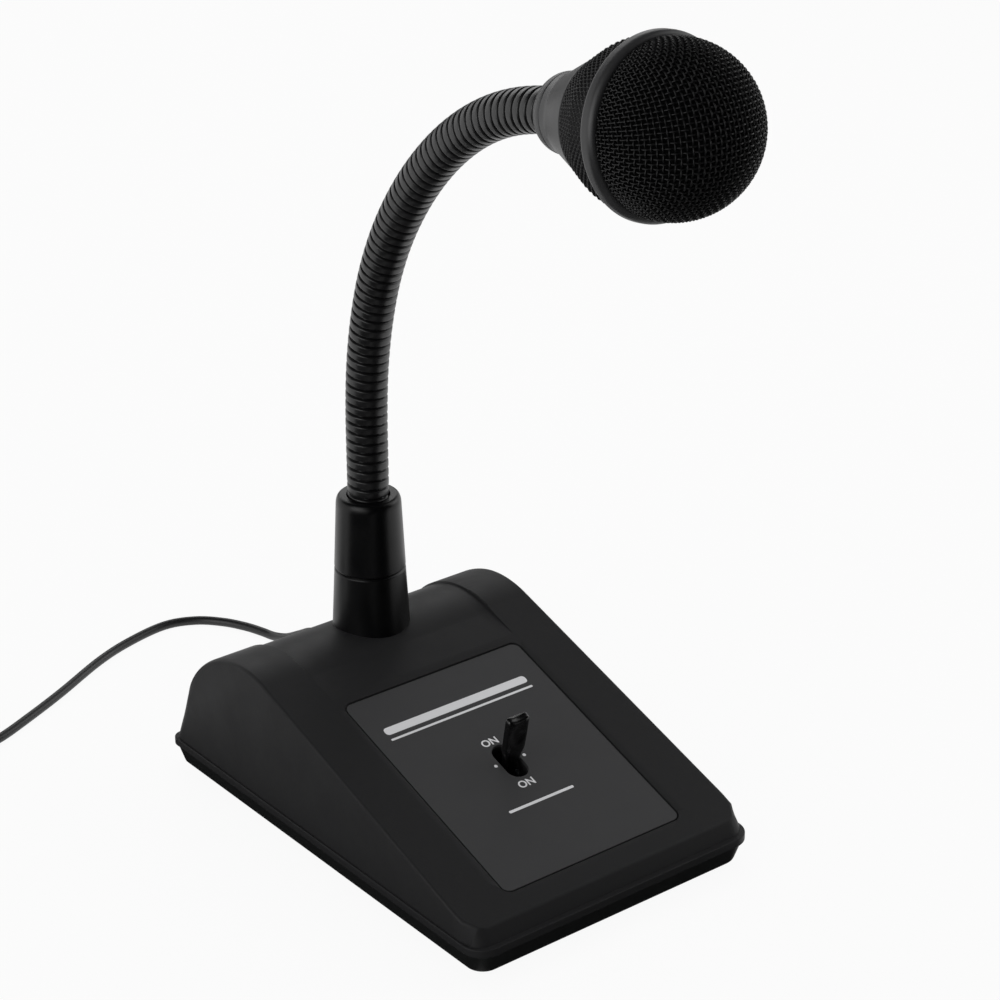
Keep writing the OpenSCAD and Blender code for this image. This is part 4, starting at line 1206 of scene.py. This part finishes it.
        lid_x = x[None, ::-1] + 0 * lid[:, :1]
        lid = np.stack([lid_x, lid[:, :1] + 0 * lid_x, lid[:, 1:] + 0 * lid_x], -1)
        return Grid(np.concatenate([floor, lid], 1))

    def recess(self) -> Grid:
        """The label's bed, with a small bevel at its brim."""
        gap, bevel, above = self.label_gap, self.brim, 0.8
        w, d, r = self.label_w / 2 + gap, self.label_l / 2 + gap, self.label_r + gap
        wide = bevel + above
        deep = -self.label_sink - self.label_t
        levels = [(0, 0, 0, deep), (w, d, r, deep), (w, d, r, -bevel), (w + wide, d + wide, r + wide, above),
                  (0, 0, 0, above)]
        return Grid(placed(rectangles(levels), self.on_slope(self.label_from + self.label_l / 2)))

    def holes(self) -> list[Grid]:
        """The slot for the lever, the neck's hole and the cord's hole."""
        oblong = (self.slot_w, self.slot_l, self.slot_w - 0.01)
        slot = rectangles([(0, 0, 0, -6), (*oblong, -6), (*oblong, 1), (0, 0, 0, 1)], 13)
        top, r = float(self.crest_c[1]) + self.crest_r, self.neck_hole
        neck = np.array([(0, top - 12), (r, top - 12), (r, top + 3), (0, top + 3)])
        r = self.cord_hole
        cord = np.array([(0.0, 78.0), (r, 78.0), (r, 96.0), (0.0, 96.0)])
        return [
            Grid(placed(slot, self.on_slope(self.label_from + self.switch_at))),
            revolve(neck, turned(0, (0, self.neck_y, 0)), 64, ring=False),
            revolve(cord, turned(-90, (self.cord_at[0], 0, self.cord_at[1])), 48, ring=False),
        ]

    def tray(self) -> None:
        """The pan: rounded rectangles that widen upwards, with recesses for four screws."""
        rim, floor, lean = self.rim_z, self.foot_h, self.tray_lean
        w, d = self.half_w + self.lip_out - 1.0, self.half_d + self.lip_out - 1.0
        low = (rim - floor) * lean
        inner = self.tray_wall
        deep = (rim - floor - inner) * lean + inner
        section = rounded(
            [(-low - 40, floor), (-low, floor), (0, rim - 0.12), (-inner, rim - 0.12), (-deep, floor + inner),
             (-low - 40, floor + inner)],
            [0, 1.2, 0.3, 0.3, 1.0, 0],
        )
        levels = [(w + x, d + x, max(7 + 0.35 * x, 2.0), z) for x, z in section]
        levels = [(0, 0, 0, floor), *levels, (0, 0, 0, floor + inner)]
        rear = [0, *(max(3 + 0.35 * x, 1.0) for x, _ in section), 0]
        piece = make_piece("pan_shell", [Grid(rectangles(levels, 11, rear))])
        sx, sy = self.screw_at
        r, high = self.bore_r, floor + self.bore_h
        bore = np.array([(0, floor - 1), (r, floor - 1), (r, high), (0, high)])
        for x in (-sx, sx):
            for y in (-sy, sy):
                cut(piece, revolve(bore, turned(0, (x, y, 0)), 32, ring=False))
        shade(piece, 30)
        dress(piece, TRAY_ABS_WITH_SHADE, "base", ["bottom_tray"])

    def feet(self) -> None:
        """Four round rubber feet with a rounded tread."""
        r = self.foot_r
        profile = rounded([(0, 0), (r, 0), (r, self.foot_h), (0, self.foot_h)], [0, 0.7, 0.1, 0])
        fx, fy = self.foot_at
        spots = [(x, y, 0) for x in (-fx, fx) for y in (-fy, fy)]
        grids = [revolve(profile, turned(0, spot), 48, ring=False) for spot in spots]
        dress(make_piece("round_feet", grids), RUBBER, "base", ["rubber_feet"])

    def label(self) -> None:
        """The label plate: rings from the slot's edge to the plate's edge and round underneath."""
        face, under = -self.label_sink, -self.label_sink - self.label_t
        w, d, r = self.label_w / 2, self.label_l / 2, self.label_r
        levels = [(4.2, 8.0, 4.19, under), (4.2, 8.0, 4.19, face - 0.12), (4.32, 8.12, 4.31, face),
                  (w - 0.14, d - 0.14, r - 0.14, face), (w, d, r, face - 0.14), (w, d, r, under)]
        rings = rectangles(levels, 13)
        rings[:3, :, 1] += self.switch_at - self.label_l / 2
        grid = Grid(placed(rings, self.on_slope(self.label_from + self.label_l / 2)), close_rows=True)
        dress(make_piece("label_panel", [grid]), LABEL_PAINT, "base", ["label_plate"])
        self.print_marks()

    def print_marks(self) -> None:
        """The plate's white print: two switch marks, two dots and plain stripes."""
        low, high = self.ink_low - self.label_sink, self.ink_high - self.label_sink
        for name, along in self.marks:
            self.words(name, "ON", self.mark_x, along, self.mark_size)
        spots = []
        for x in (-self.dot_x, self.dot_x):
            disc = rounded([(0, low), (self.dot_r, low), (self.dot_r, high), (0, high)], [0, 0, 0.03, 0])
            spots.append(revolve(disc, self.on_slope(self.label_from + self.switch_at, x), 24, ring=False))
        dress(make_piece("switch_dots", spots), INK, "base")
        bars = []
        for x, along, half_w, half_d in self.stripes:
            bar = (half_w, half_d, half_d * 0.8)
            levels = [(0, 0, 0, low), (*bar, low), (*bar, high), (0, 0, 0, high)]
            bars.append(Grid(placed(rectangles(levels), self.on_slope(self.label_from + along, x))))
        dress(make_piece("plain_stripes", bars), INK, "base")

    def words(self, name: str, text: str, across: float, along: float, size: float) -> None:
        """Printed letters on the plate, made a thin mesh and laid on it.

        Args:
            name: the piece's name.
            text: the letters.
            across: their middle, sideways.
            along: their middle, along the plate.
            size: the type's size.
        """
        curve = bpy.data.curves.new(name, "FONT")
        curve.body = text
        curve.size = size
        curve.align_x = "CENTER"
        curve.align_y = "CENTER"
        curve.extrude = 0.03
        curve.offset = 0.09
        curve.resolution_u = 4
        text_object = add_object("letters", curve)
        graph = bpy.context.evaluated_depsgraph_get()
        mesh = bpy.data.meshes.new_from_object(text_object.evaluated_get(graph))
        bpy.data.objects.remove(text_object)
        bpy.data.curves.remove(curve)
        place = self.on_slope(self.label_from + along, across)
        place[:3, 3] += place[:3, 2] * (0.01 - self.label_sink)
        place[:3] *= MM
        mesh.transform(Matrix(place.tolist()))
        dress(add_object(name, mesh), INK, "base")

    def build(self) -> None:
        """Makes the base's pieces."""
        self.cover()
        self.tray()
        self.feet()
        self.label()


@dataclass
class Lever:
    """The paddle that tips forwards and backwards in the slot, in millimetres."""

    pivot_depth: float = 9.0
    reach: float = 20.0
    paddle_w: float = 9.0
    paddle_t: float = 3.6
    shank_w: float = 5.4
    rise: float = 8.0
    tip: float = 2.0
    bend: float = 2.0
    hub_r: float = 3.2
    hub_l: float = 6.2
    tail_l: float = 7.0
    pin_hole: float = 1.31
    tip_t: float = 1.3
    scoop_w: float = 3.7
    scoop_l: float = 5.2
    scoop_from: float = 7.0
    sag: float = 0.9
    sag_l: float = 5.0

    def paddle(self) -> Array:
        """The paddle's surface in its own frame: x across, y through, z up from the pivot.

        Each level is the rounded rectangle |x/a|^4 + |y/b|^4 = 1. The half width a grows from the shank's to
        the paddle's along a smooth step, and both a and b shrink along a quarter circle at the tip. A shallow
        round scoop is pressed into the front, the tip's edge sags in its middle, and the paddle bends back a
        little.

        Returns:
            Points by level and by place round the paddle.
        """
        top = self.pivot_depth + self.reach
        body = np.linspace(0.5, top - self.tip, 46)
        angle = np.linspace(0, np.pi / 2, 9)[1:]
        z = np.concatenate([body, top - self.tip + self.tip * np.sin(angle)])[:, None]
        t = np.clip((z - self.pivot_depth + 1) / self.rise, 0, 1)
        a = self.shank_w / 2 + (self.paddle_w - self.shank_w) / 2 * t * t * (3 - 2 * t)
        b = np.full_like(a, self.paddle_t / 2)
        over = np.clip((z - top + self.tip) / self.tip, 0, 1)
        a = a - self.tip * (1 - np.sqrt(1 - over**2))
        b = b - self.tip_t * (1 - np.sqrt(1 - over**2))
        turn = np.linspace(0, 2 * np.pi, 64, endpoint=False)[None, :]
        x = a * np.sign(np.cos(turn)) * np.abs(np.cos(turn)) ** 0.5
        y = b * np.sign(np.sin(turn)) * np.abs(np.sin(turn)) ** 0.5
        off = (z - top + self.scoop_from) / self.scoop_l
        near = np.clip(1 - (x / self.scoop_w) ** 2 - off**2, 0, 1)
        y = y + near * (y < 0)
        rim = np.clip((z - top + self.sag_l) / self.sag_l, 0, 1) ** 2
        sag = rim * self.sag * (1 - (x / (self.paddle_w / 2)) ** 2)
        bend = self.bend * (np.clip(z - self.pivot_depth, 0, None) / self.reach) ** 1.5
        return np.stack([x, y + bend, z - sag], -1)

    def build(self, base: Base) -> None:
        """Makes the lever with its hub and tail, on the switch's pivot.

        Args:
            base: the base that carries it.
        """
        place = base.on_slope(base.label_from + base.switch_at)
        place[:3, 3] -= place[:3, 2] * self.pivot_depth
        paddle = self.paddle()
        caps = [np.repeat(paddle[k].mean(0)[None, None], paddle.shape[1], 1) for k in (0, -1)]
        sideways = place.copy()
        sideways[:3, :3] = place[:3, :3] @ np.array(Matrix.Rotation(math.radians(90), 3, "Y"))
        half, hole, r = self.hub_l / 2, self.pin_hole, self.hub_r
        hub = rounded([(hole, -half), (r, -half), (r, half), (hole, half)], [0.1, 0.3, 0.3, 0.1])
        low = sideways.copy()
        low[:3, 3] -= place[:3, 2] * self.tail_l
        roller = rounded([(0, -2.5), (1.5, -2.5), (1.5, 2.5), (0, 2.5)], [0, 0.3, 0.3, 0])
        stem = (2, 1.2, 0.3)
        tail = rectangles([(0, 0, 0, -self.tail_l), (*stem, -self.tail_l), (*stem, -2), (0, 0, 0, -2)])
        grids = [
            Grid(placed(np.concatenate([caps[0], paddle, caps[1]]), place)),
            revolve(hub, sideways, 48),
            revolve(roller, low, 32, ring=False),
            Grid(placed(tail, place)),
        ]
        piece = make_piece("paddle", grids, sharp=50)
        dress(piece, LEVER_NYLON, "lever", ["switch_lever"])


@dataclass
class Collars:
    """The two conical rings round the foot of the neck, with a groove between them, in millimetres."""

    y: float
    foot_z: float = 57.4
    mid_z: float = 81.035
    top_z: float = 109.035
    foot_r: float = 14.0
    mid_r: float = 12.8
    top_r: float = 11.5
    round_r: float = 3.5
    low_bore: float = 10.1
    high_bore: float = 8.6
    mouth_r: float = 7.7
    mouth_l: float = 6.6
    groove: float = 0.6
    bevel: float = 0.4

    def build(self) -> None:
        """Makes both rings as revolved profiles with soft edges."""
        place = turned(0, (0, self.y, 0))
        z0, z1, z2 = self.foot_z, self.mid_z, self.top_z
        foot, mid, cut_in, edge = self.foot_r, self.mid_r, self.groove, self.bevel
        low = rounded(
            [(self.low_bore, z0), (foot - edge, z0), (foot, z0 + edge),
             (mid, z1 - cut_in), (mid - cut_in, z1), (self.low_bore, z1)],
            [0, 0.15, 0.2, 0.25, 0.1, 0],
        )
        piece = make_piece("collar_lower", [revolve(low, place, 128)])
        dress(piece, COLLAR_ENAMEL, "base", ["lower_collar"])
        high = rounded(
            [(self.high_bore, z1), (mid - cut_in, z1), (mid, z1 + cut_in),
             (self.top_r, z2), (self.mouth_r, z2), (self.mouth_r, z2 - self.mouth_l),
             (self.high_bore, z2 - self.mouth_l)],
            [0, 0.1, 0.25, self.round_r, 0.3, 0, 0],
            steps=9,
        )
        piece = make_piece("collar_upper", [revolve(high, place, 128)])
        dress(piece, COLLAR_ENAMEL, "base", ["upper_collar"])


@dataclass
class Neck:
    """The bendable neck: a wound tube along the links' line, in sleeves over the links' pivots.

    Lengths are in millimetres and angles in degrees. One sleeve is cut in two stiff halves, because the
    bending of that sleeve fails on rounding when several joints are moved. The cut shows as a kink of up to
    23 degrees.
    """

    y: float
    z: float = 105.835
    link_l: float = 17.6
    leans: tuple[float, ...] = (0, 0, 4, 10, 16, 24, 32, 39, 46, 54, 63, 73)
    head_lean: float = 82.0
    outer_r: float = 7.4
    groove: float = 0.95
    bore_r: float = 2.4
    pitch: float = 3.52
    foot: float = 8.0
    groove_w: float = 0.17
    crown: float = 0.2
    rows: int = 118
    sides: int = 56
    hold: float = 0.85
    head_share: float = 0.93
    head_rows: int = 110
    head_hold: float = 0.1
    cut_joint: int = 11  # its sleeve is the one in two halves
    turned_joint: int = 2  # its sleeve was to be bent from the head's end, since rounding can upset the other way; here it is made like the others

    def pivots(self) -> Array:
        """The pivots as (y, z), each one link further along its link's lean."""
        lean = np.radians(np.array(self.leans))
        steps = self.link_l * np.stack([-np.sin(lean), np.cos(lean)], -1)
        return np.concatenate([[[self.y, self.z]], [self.y, self.z] + np.cumsum(steps, 0)])

    def winding(self, s: Array, angle: Array) -> Array:
        """The radius over the winding.

        Each turn is a flat-topped round, and a narrow groove between turns climbs one pitch in a turn:
        with q the distance from the groove in pitches, the radius is the outer one less the groove's depth
        times 1 - q / w inside its width w, and less a small crown.

        Args:
            s: the distance along the neck.
            angle: the angle round it.

        Returns:
            The radius.
        """
        phase = s / self.pitch - angle / (2 * np.pi)
        q = np.abs(phase - np.round(phase))
        dip = np.clip(1 - q / self.groove_w, 0, 1)
        return self.outer_r - self.groove * dip - self.crown * (1 - 2 * q) ** 3

    def line(self, a: Array, p: Array, b: Array, t: Array) -> tuple[Array, Array]:
        """The curve (1-t)^2 A + 2t(1-t) P + t^2 B and its heading.

        Args:
            a: the middle of the link before.
            p: the pivot.
            b: the middle of the link after.
            t: the share of the way.

        Returns:
            The points and the unit headings.
        """
        t = t[:, None]
        points = (1 - t) ** 2 * a + 2 * t * (1 - t) * p + t**2 * b
        heading = 2 * (1 - t) * (p - a) + 2 * t * (b - p)
        return points, heading / np.linalg.norm(heading, axis=1, keepdims=True)

    def sleeve(self, points: Array, heading: Array, s: Array) -> Grid:
        """A wound sleeve along a line in the side view, closed by its bore.

        The ring at each point is centre + r (cos a * X + sin a * over), with over square to the heading.

        Args:
            points: the line's points (y, z).
            heading: its unit headings.
            s: the distance along the whole neck.

        Returns:
            The closed sleeve.
        """
        angle = np.linspace(0, 2 * np.pi, self.sides, endpoint=False)[None, :]
        rings = []
        for r in (self.winding(s[:, None], angle), np.full((len(s), self.sides), self.bore_r)):
            x = r * np.cos(angle)
            y = points[:, 0, None] - r * np.sin(angle) * heading[:, 1, None]
            z = points[:, 1, None] + r * np.sin(angle) * heading[:, 0, None]
            rings.append(np.stack([x, y, z], -1))
        return Grid(np.concatenate([rings[0], rings[1][::-1]]), close_rows=True)

    def wound(self, name: str, grid: Grid, body: str | None, nodes: Sequence[str]) -> bpy.types.Object:
        """One sleeve as a dressed piece.

        Args:
            name: the piece's name.
            grid: its surface.
            body: the body that it rides on, or None if it rides on none.
            nodes: the solids that it replaces.

        Returns:
            The piece.
        """
        return dress(make_piece(name, [grid], sharp=70), NECK_ENAMEL, body, nodes)

    def build(self) -> None:
        """Makes the neck's pieces, from the collar to the head."""
        p = self.pivots()
        middles = (p[:-1] + p[1:]) / 2
        rows = self.rows
        start = np.array([self.y, self.z - self.foot])
        t = np.linspace(0, 1, rows)
        first = start + t[:, None] * (middles[0] - start)
        s = t * (middles[0] - start)[1]
        up = np.repeat([[0.0, 1.0]], rows, 0)
        self.wound("neck_winding_1", self.sleeve(first, up, s), "base", ["neck_link_1"])
        lean = math.radians(self.head_lean)
        ahead = p[-1] + self.link_l / 2 * np.array([-math.sin(lean), math.cos(lean)])
        ends = np.concatenate([middles, ahead[None]])
        names = ["base", *[f"neck_link_{k}" for k in range(2, 13)], "head"]
        reach = float(s[-1])
        for k in range(len(names) - 1):
            last = k == len(names) - 2
            t = np.linspace(0, self.head_share, self.head_rows) if last else np.linspace(0, 1.0, rows)
            points, heading = self.line(ends[k], p[k + 1], ends[k + 1], t)
            step = np.linalg.norm(np.diff(points, axis=0), axis=1)
            s = reach + np.concatenate([[0.0], np.cumsum(step)])
            reach = float(s[-1])
            name = f"neck_winding_{k + 2}"
            replaced = [] if last else [names[k + 1]]
            if k + 1 == self.cut_joint:
                half = rows // 2
                lower = self.sleeve(points[: half + 1], heading[: half + 1], s[: half + 1])
                upper = self.sleeve(points[half:], heading[half:], s[half:])
                self.wound(f"{name}_lower", lower, names[k], [])
                self.wound(f"{name}_upper", upper, names[k + 1], replaced)
                continue
            piece = self.wound(name, self.sleeve(points, heading, s), None, replaced)
            if k + 1 == self.turned_joint:
                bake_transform(piece)
            else:
                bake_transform(piece)


@dataclass
class Head:
    """The head: a domed boss, a knurled band, a rim ring and a woven ball with foam, in millimetres."""

    at: Array
    lean: float = 82.0
    boss_l: float = 32.4
    boss_r: float = 19.7
    dome_from: float = 6.5
    dome_r: float = 12.8
    dome_round: float = 7.9
    waist_l: float = 17.6
    hole_r: float = 7.6
    ring_z: float = 52.0
    ring_l: float = 5.5
    ring_r: float = 28.3
    ball_z: float = 61.0
    ball_r: float = 27.0
    wire_r: float = 0.3
    wire_pitch: float = 1.7
    knurls: int = 64
    knurl_h: float = 0.5
    knurl_l: float = 2.3
    calm_l: float = 1.2
    band_z: float = 43.2
    ring_bore: float = 22.5
    weave_to: float = 97.0
    foam_to: float = 96.0
    foam_r: float = 25.45
    foam_in: float = 23.2
    foam_bump: float = 0.14

    @property
    def place(self) -> Array:
        """The placing matrix whose z axis runs along the head."""
        return turned(self.lean, (0.0, *self.at))

    def boss(self) -> None:
        """The boss: a dome on the neck that runs into a cone, hollow inside."""
        middle_r, middle_z = self.dome_r - self.dome_round, self.dome_from + self.dome_round
        angle = np.linspace(math.asin((self.hole_r - middle_r) / self.dome_round), np.pi / 2, 24)
        r, z = middle_r + self.dome_round * np.sin(angle), middle_z - self.dome_round * np.cos(angle)
        dome = np.stack([r, z], -1)
        rest = rounded(
            [(self.dome_r, middle_z + 0.2), (self.dome_r + 0.5, self.waist_l), (self.boss_r, self.boss_l),
             (self.boss_r - 2.2, self.boss_l), (10.6, self.waist_l + 4), (self.hole_r, self.waist_l + 1),
             (self.hole_r, dome[0, 1] + 0.3)],
            [0.1, 0.9, 0.7, 0, 0.5, 0.3, 0.1],
        )
        piece = make_piece("head_dome", [revolve(np.concatenate([dome, rest]), self.place, 128)])
        dress(piece, HEAD_ENAMEL, "head", ["head_boss"])

    def band(self) -> None:
        """The knurled band.

        Its cone rises from the boss to the ring, and two sets of ridges cross on it: the radius gains the sum
        of two triangle waves, one along the sum and one along the difference of the angle and the distance.
        """
        rows, columns = 80, self.knurls * 8
        z = np.linspace(self.boss_l, self.ring_z, rows)
        places = [self.boss_l, self.band_z, self.ring_z]
        r0 = np.interp(z, places, [self.boss_r - 0.25, 24.7, 27.0])
        angle = np.linspace(0, 2 * np.pi, columns, endpoint=False)
        round_way = self.knurls * angle / (2 * np.pi)
        length_way = (z - self.boss_l)[:, None] / self.knurl_l
        waves = [np.abs(2 * ((round_way[None] + sign * length_way) % 1) - 1) for sign in (1, -1)]
        calm = np.clip(np.minimum(z - self.boss_l, self.ring_z - z) / self.calm_l, 0, 1)[:, None]
        r = r0[:, None] + self.knurl_h * calm * (waves[0] + waves[1] - 1)
        outside = np.stack([r * np.cos(angle), r * np.sin(angle), z[:, None] + 0 * r], -1)
        r = np.interp(z, places, [self.boss_r - 2.2, 22.2, 23.0])[:: 1 - rows, None]
        inside = np.stack([r * np.cos(angle), r * np.sin(angle), z[:: 1 - rows, None] + 0 * angle], -1)
        grid = Grid(placed(np.concatenate([outside, inside]), self.place), close_rows=True)
        piece = make_piece("knurled_cone", [grid], sharp=60)
        dress(piece, KNURL_ENAMEL, "head", ["knurled_band"])

    def ring(self) -> None:
        """The smooth ring that holds the ball."""
        z0, z1 = self.ring_z, self.ring_z + self.ring_l
        profile = rounded(
            [(self.ring_bore, z0), (self.ring_r - 0.8, z0), (self.ring_r, z0 + 1), (self.ring_r, z1 - 1.2),
             (self.ring_r - 1.2, z1), (self.ring_bore, z1)],
            [0, 0.5, 0.6, 1.2, 0.6, 0],
        )
        piece = make_piece("grille_ring", [revolve(profile, self.place, 160)])
        dress(piece, HEAD_ENAMEL, "head", ["rim_ring"])

    def weave(self) -> None:
        """The woven ball: two sets of wires that pass over and under each other.

        A square grid of lines is laid on the ball so that distances from its pole are kept: a grid point at
        the plane distance d from the pole lies at the angle d / R from it. Each wire's distance from the
        centre swings by the cosine of its place in the grid, and the two sets swing against each other.
        """
        radius = self.ball_r - 2 * self.wire_r
        widest = radius * math.radians(self.weave_to)
        count = int(widest / self.wire_pitch)
        lines = np.arange(-count, count + 1) * self.wire_pitch
        half = np.sqrt(widest**2 - lines**2)
        samples, sides = 165, 4
        t = np.linspace(-1, 1, samples)
        a = np.repeat(lines[:, None], samples, 1)
        b = half[:, None] * t[None, :]
        number = np.arange(len(lines))[:, None]
        swing = self.wire_r * np.cos(np.pi * (b / self.wire_pitch + number))
        sets = []
        for turn in (False, True):
            x, y = (b, a) if turn else (a, b)
            far = np.hypot(x, y)
            angle = far / radius
            sine = np.sin(angle) / np.maximum(far, 1e-9)
            out = np.stack([x * sine, y * sine, np.cos(angle)], -1)
            sets.append((radius + (swing if turn else -swing))[..., None] * out)
        centre = np.concatenate(sets)
        heading = np.gradient(centre, axis=1)
        heading /= np.linalg.norm(heading, axis=2, keepdims=True)
        outward = centre / np.linalg.norm(centre, axis=2, keepdims=True)
        side = np.cross(heading, outward)
        side /= np.linalg.norm(side, axis=2, keepdims=True)
        over = np.cross(side, heading)
        turn = np.linspace(0, 2 * np.pi, sides, endpoint=False)[None, None, :, None]
        spread = np.cos(turn) * side[:, :, None] + np.sin(turn) * over[:, :, None]
        rings = centre[:, :, None] + self.wire_r * spread
        rings = np.concatenate([np.repeat(centre[:, :1, None], sides, 2), rings,
                                np.repeat(centre[:, -1:, None], sides, 2)], 1)
        rings = placed(rings + np.array([0.0, 0.0, self.ball_z]), self.place)
        wires, rows = rings.shape[:2]
        index = np.arange(wires * rows * sides).reshape(wires, rows, sides)
        index = np.concatenate([index, index[:, :, :1]], 2)
        points = rings.reshape(-1, 3)
        piece = make_mesh("grille_weave", points, facing_out(points, cells_of(index)), sharp=180)
        dress(piece, GRILLE_LACQUER, "head", ["grille"])

    def foam(self) -> None:
        """The foam cap behind the weave: part of a ball whose radius swells by crossed sine waves."""
        low = math.radians(self.foam_to)
        polar = np.concatenate([np.linspace(0, low, 60), np.linspace(low, 0, 24)])
        depth = np.concatenate([np.full(60, self.foam_r), np.full(24, self.foam_in)])[:, None]
        polar = polar[:, None]
        angle = np.linspace(0, 2 * np.pi, 120, endpoint=False)[None, :]
        waves = np.sin(9 * angle + 5 * polar) * np.sin(14 * polar) * np.sin(polar)
        r = depth + self.foam_bump * waves
        x, y = r * np.sin(polar) * np.cos(angle), r * np.sin(polar) * np.sin(angle)
        points = np.stack([x, y, self.ball_z + r * np.cos(polar)], -1)
        piece = make_piece("foam_cap", [Grid(placed(points, self.place))], sharp=60)
        dress(piece, FOAM, "head", ["foam_liner"])

    def build(self) -> None:
        """Makes the head's pieces."""
        self.boss()
        self.band()
        self.ring()
        self.weave()
        self.foam()


@dataclass
class Insides:
    """The solids that stay as they are, inside the base and the head and under the pan."""

    finishes: dict[str, Finish] = field(default_factory=lambda: dict(NODE_FINISHES))

    def dress(self) -> None:
        """Gives each solid its finish, in its own material slots."""
        for name, finish in self.finishes.items():
            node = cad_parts[name]
            made = finish.material()
            for k in range(len(node.data.materials)):
                node.data.materials[k] = made
            if not node.data.materials:
                node.data.materials.append(made)
            LOG.info("%s: %s", name, finish.name)


def main() -> None:
    """Builds the camera, the cord and each sub-assembly in order, then the light."""
    logging.basicConfig(level=logging.INFO, format="%(name)s %(message)s")
    studio = Studio()
    studio.camera()
    Cord().build()
    base = Base()
    base.build()
    Lever().build(base)
    Collars(base.neck_y).build()
    neck = Neck(base.neck_y)
    neck.build()
    Head(neck.pivots()[-1]).build()
    Insides().dress()
    studio.build()


if __name__ == "__main__":
    main()
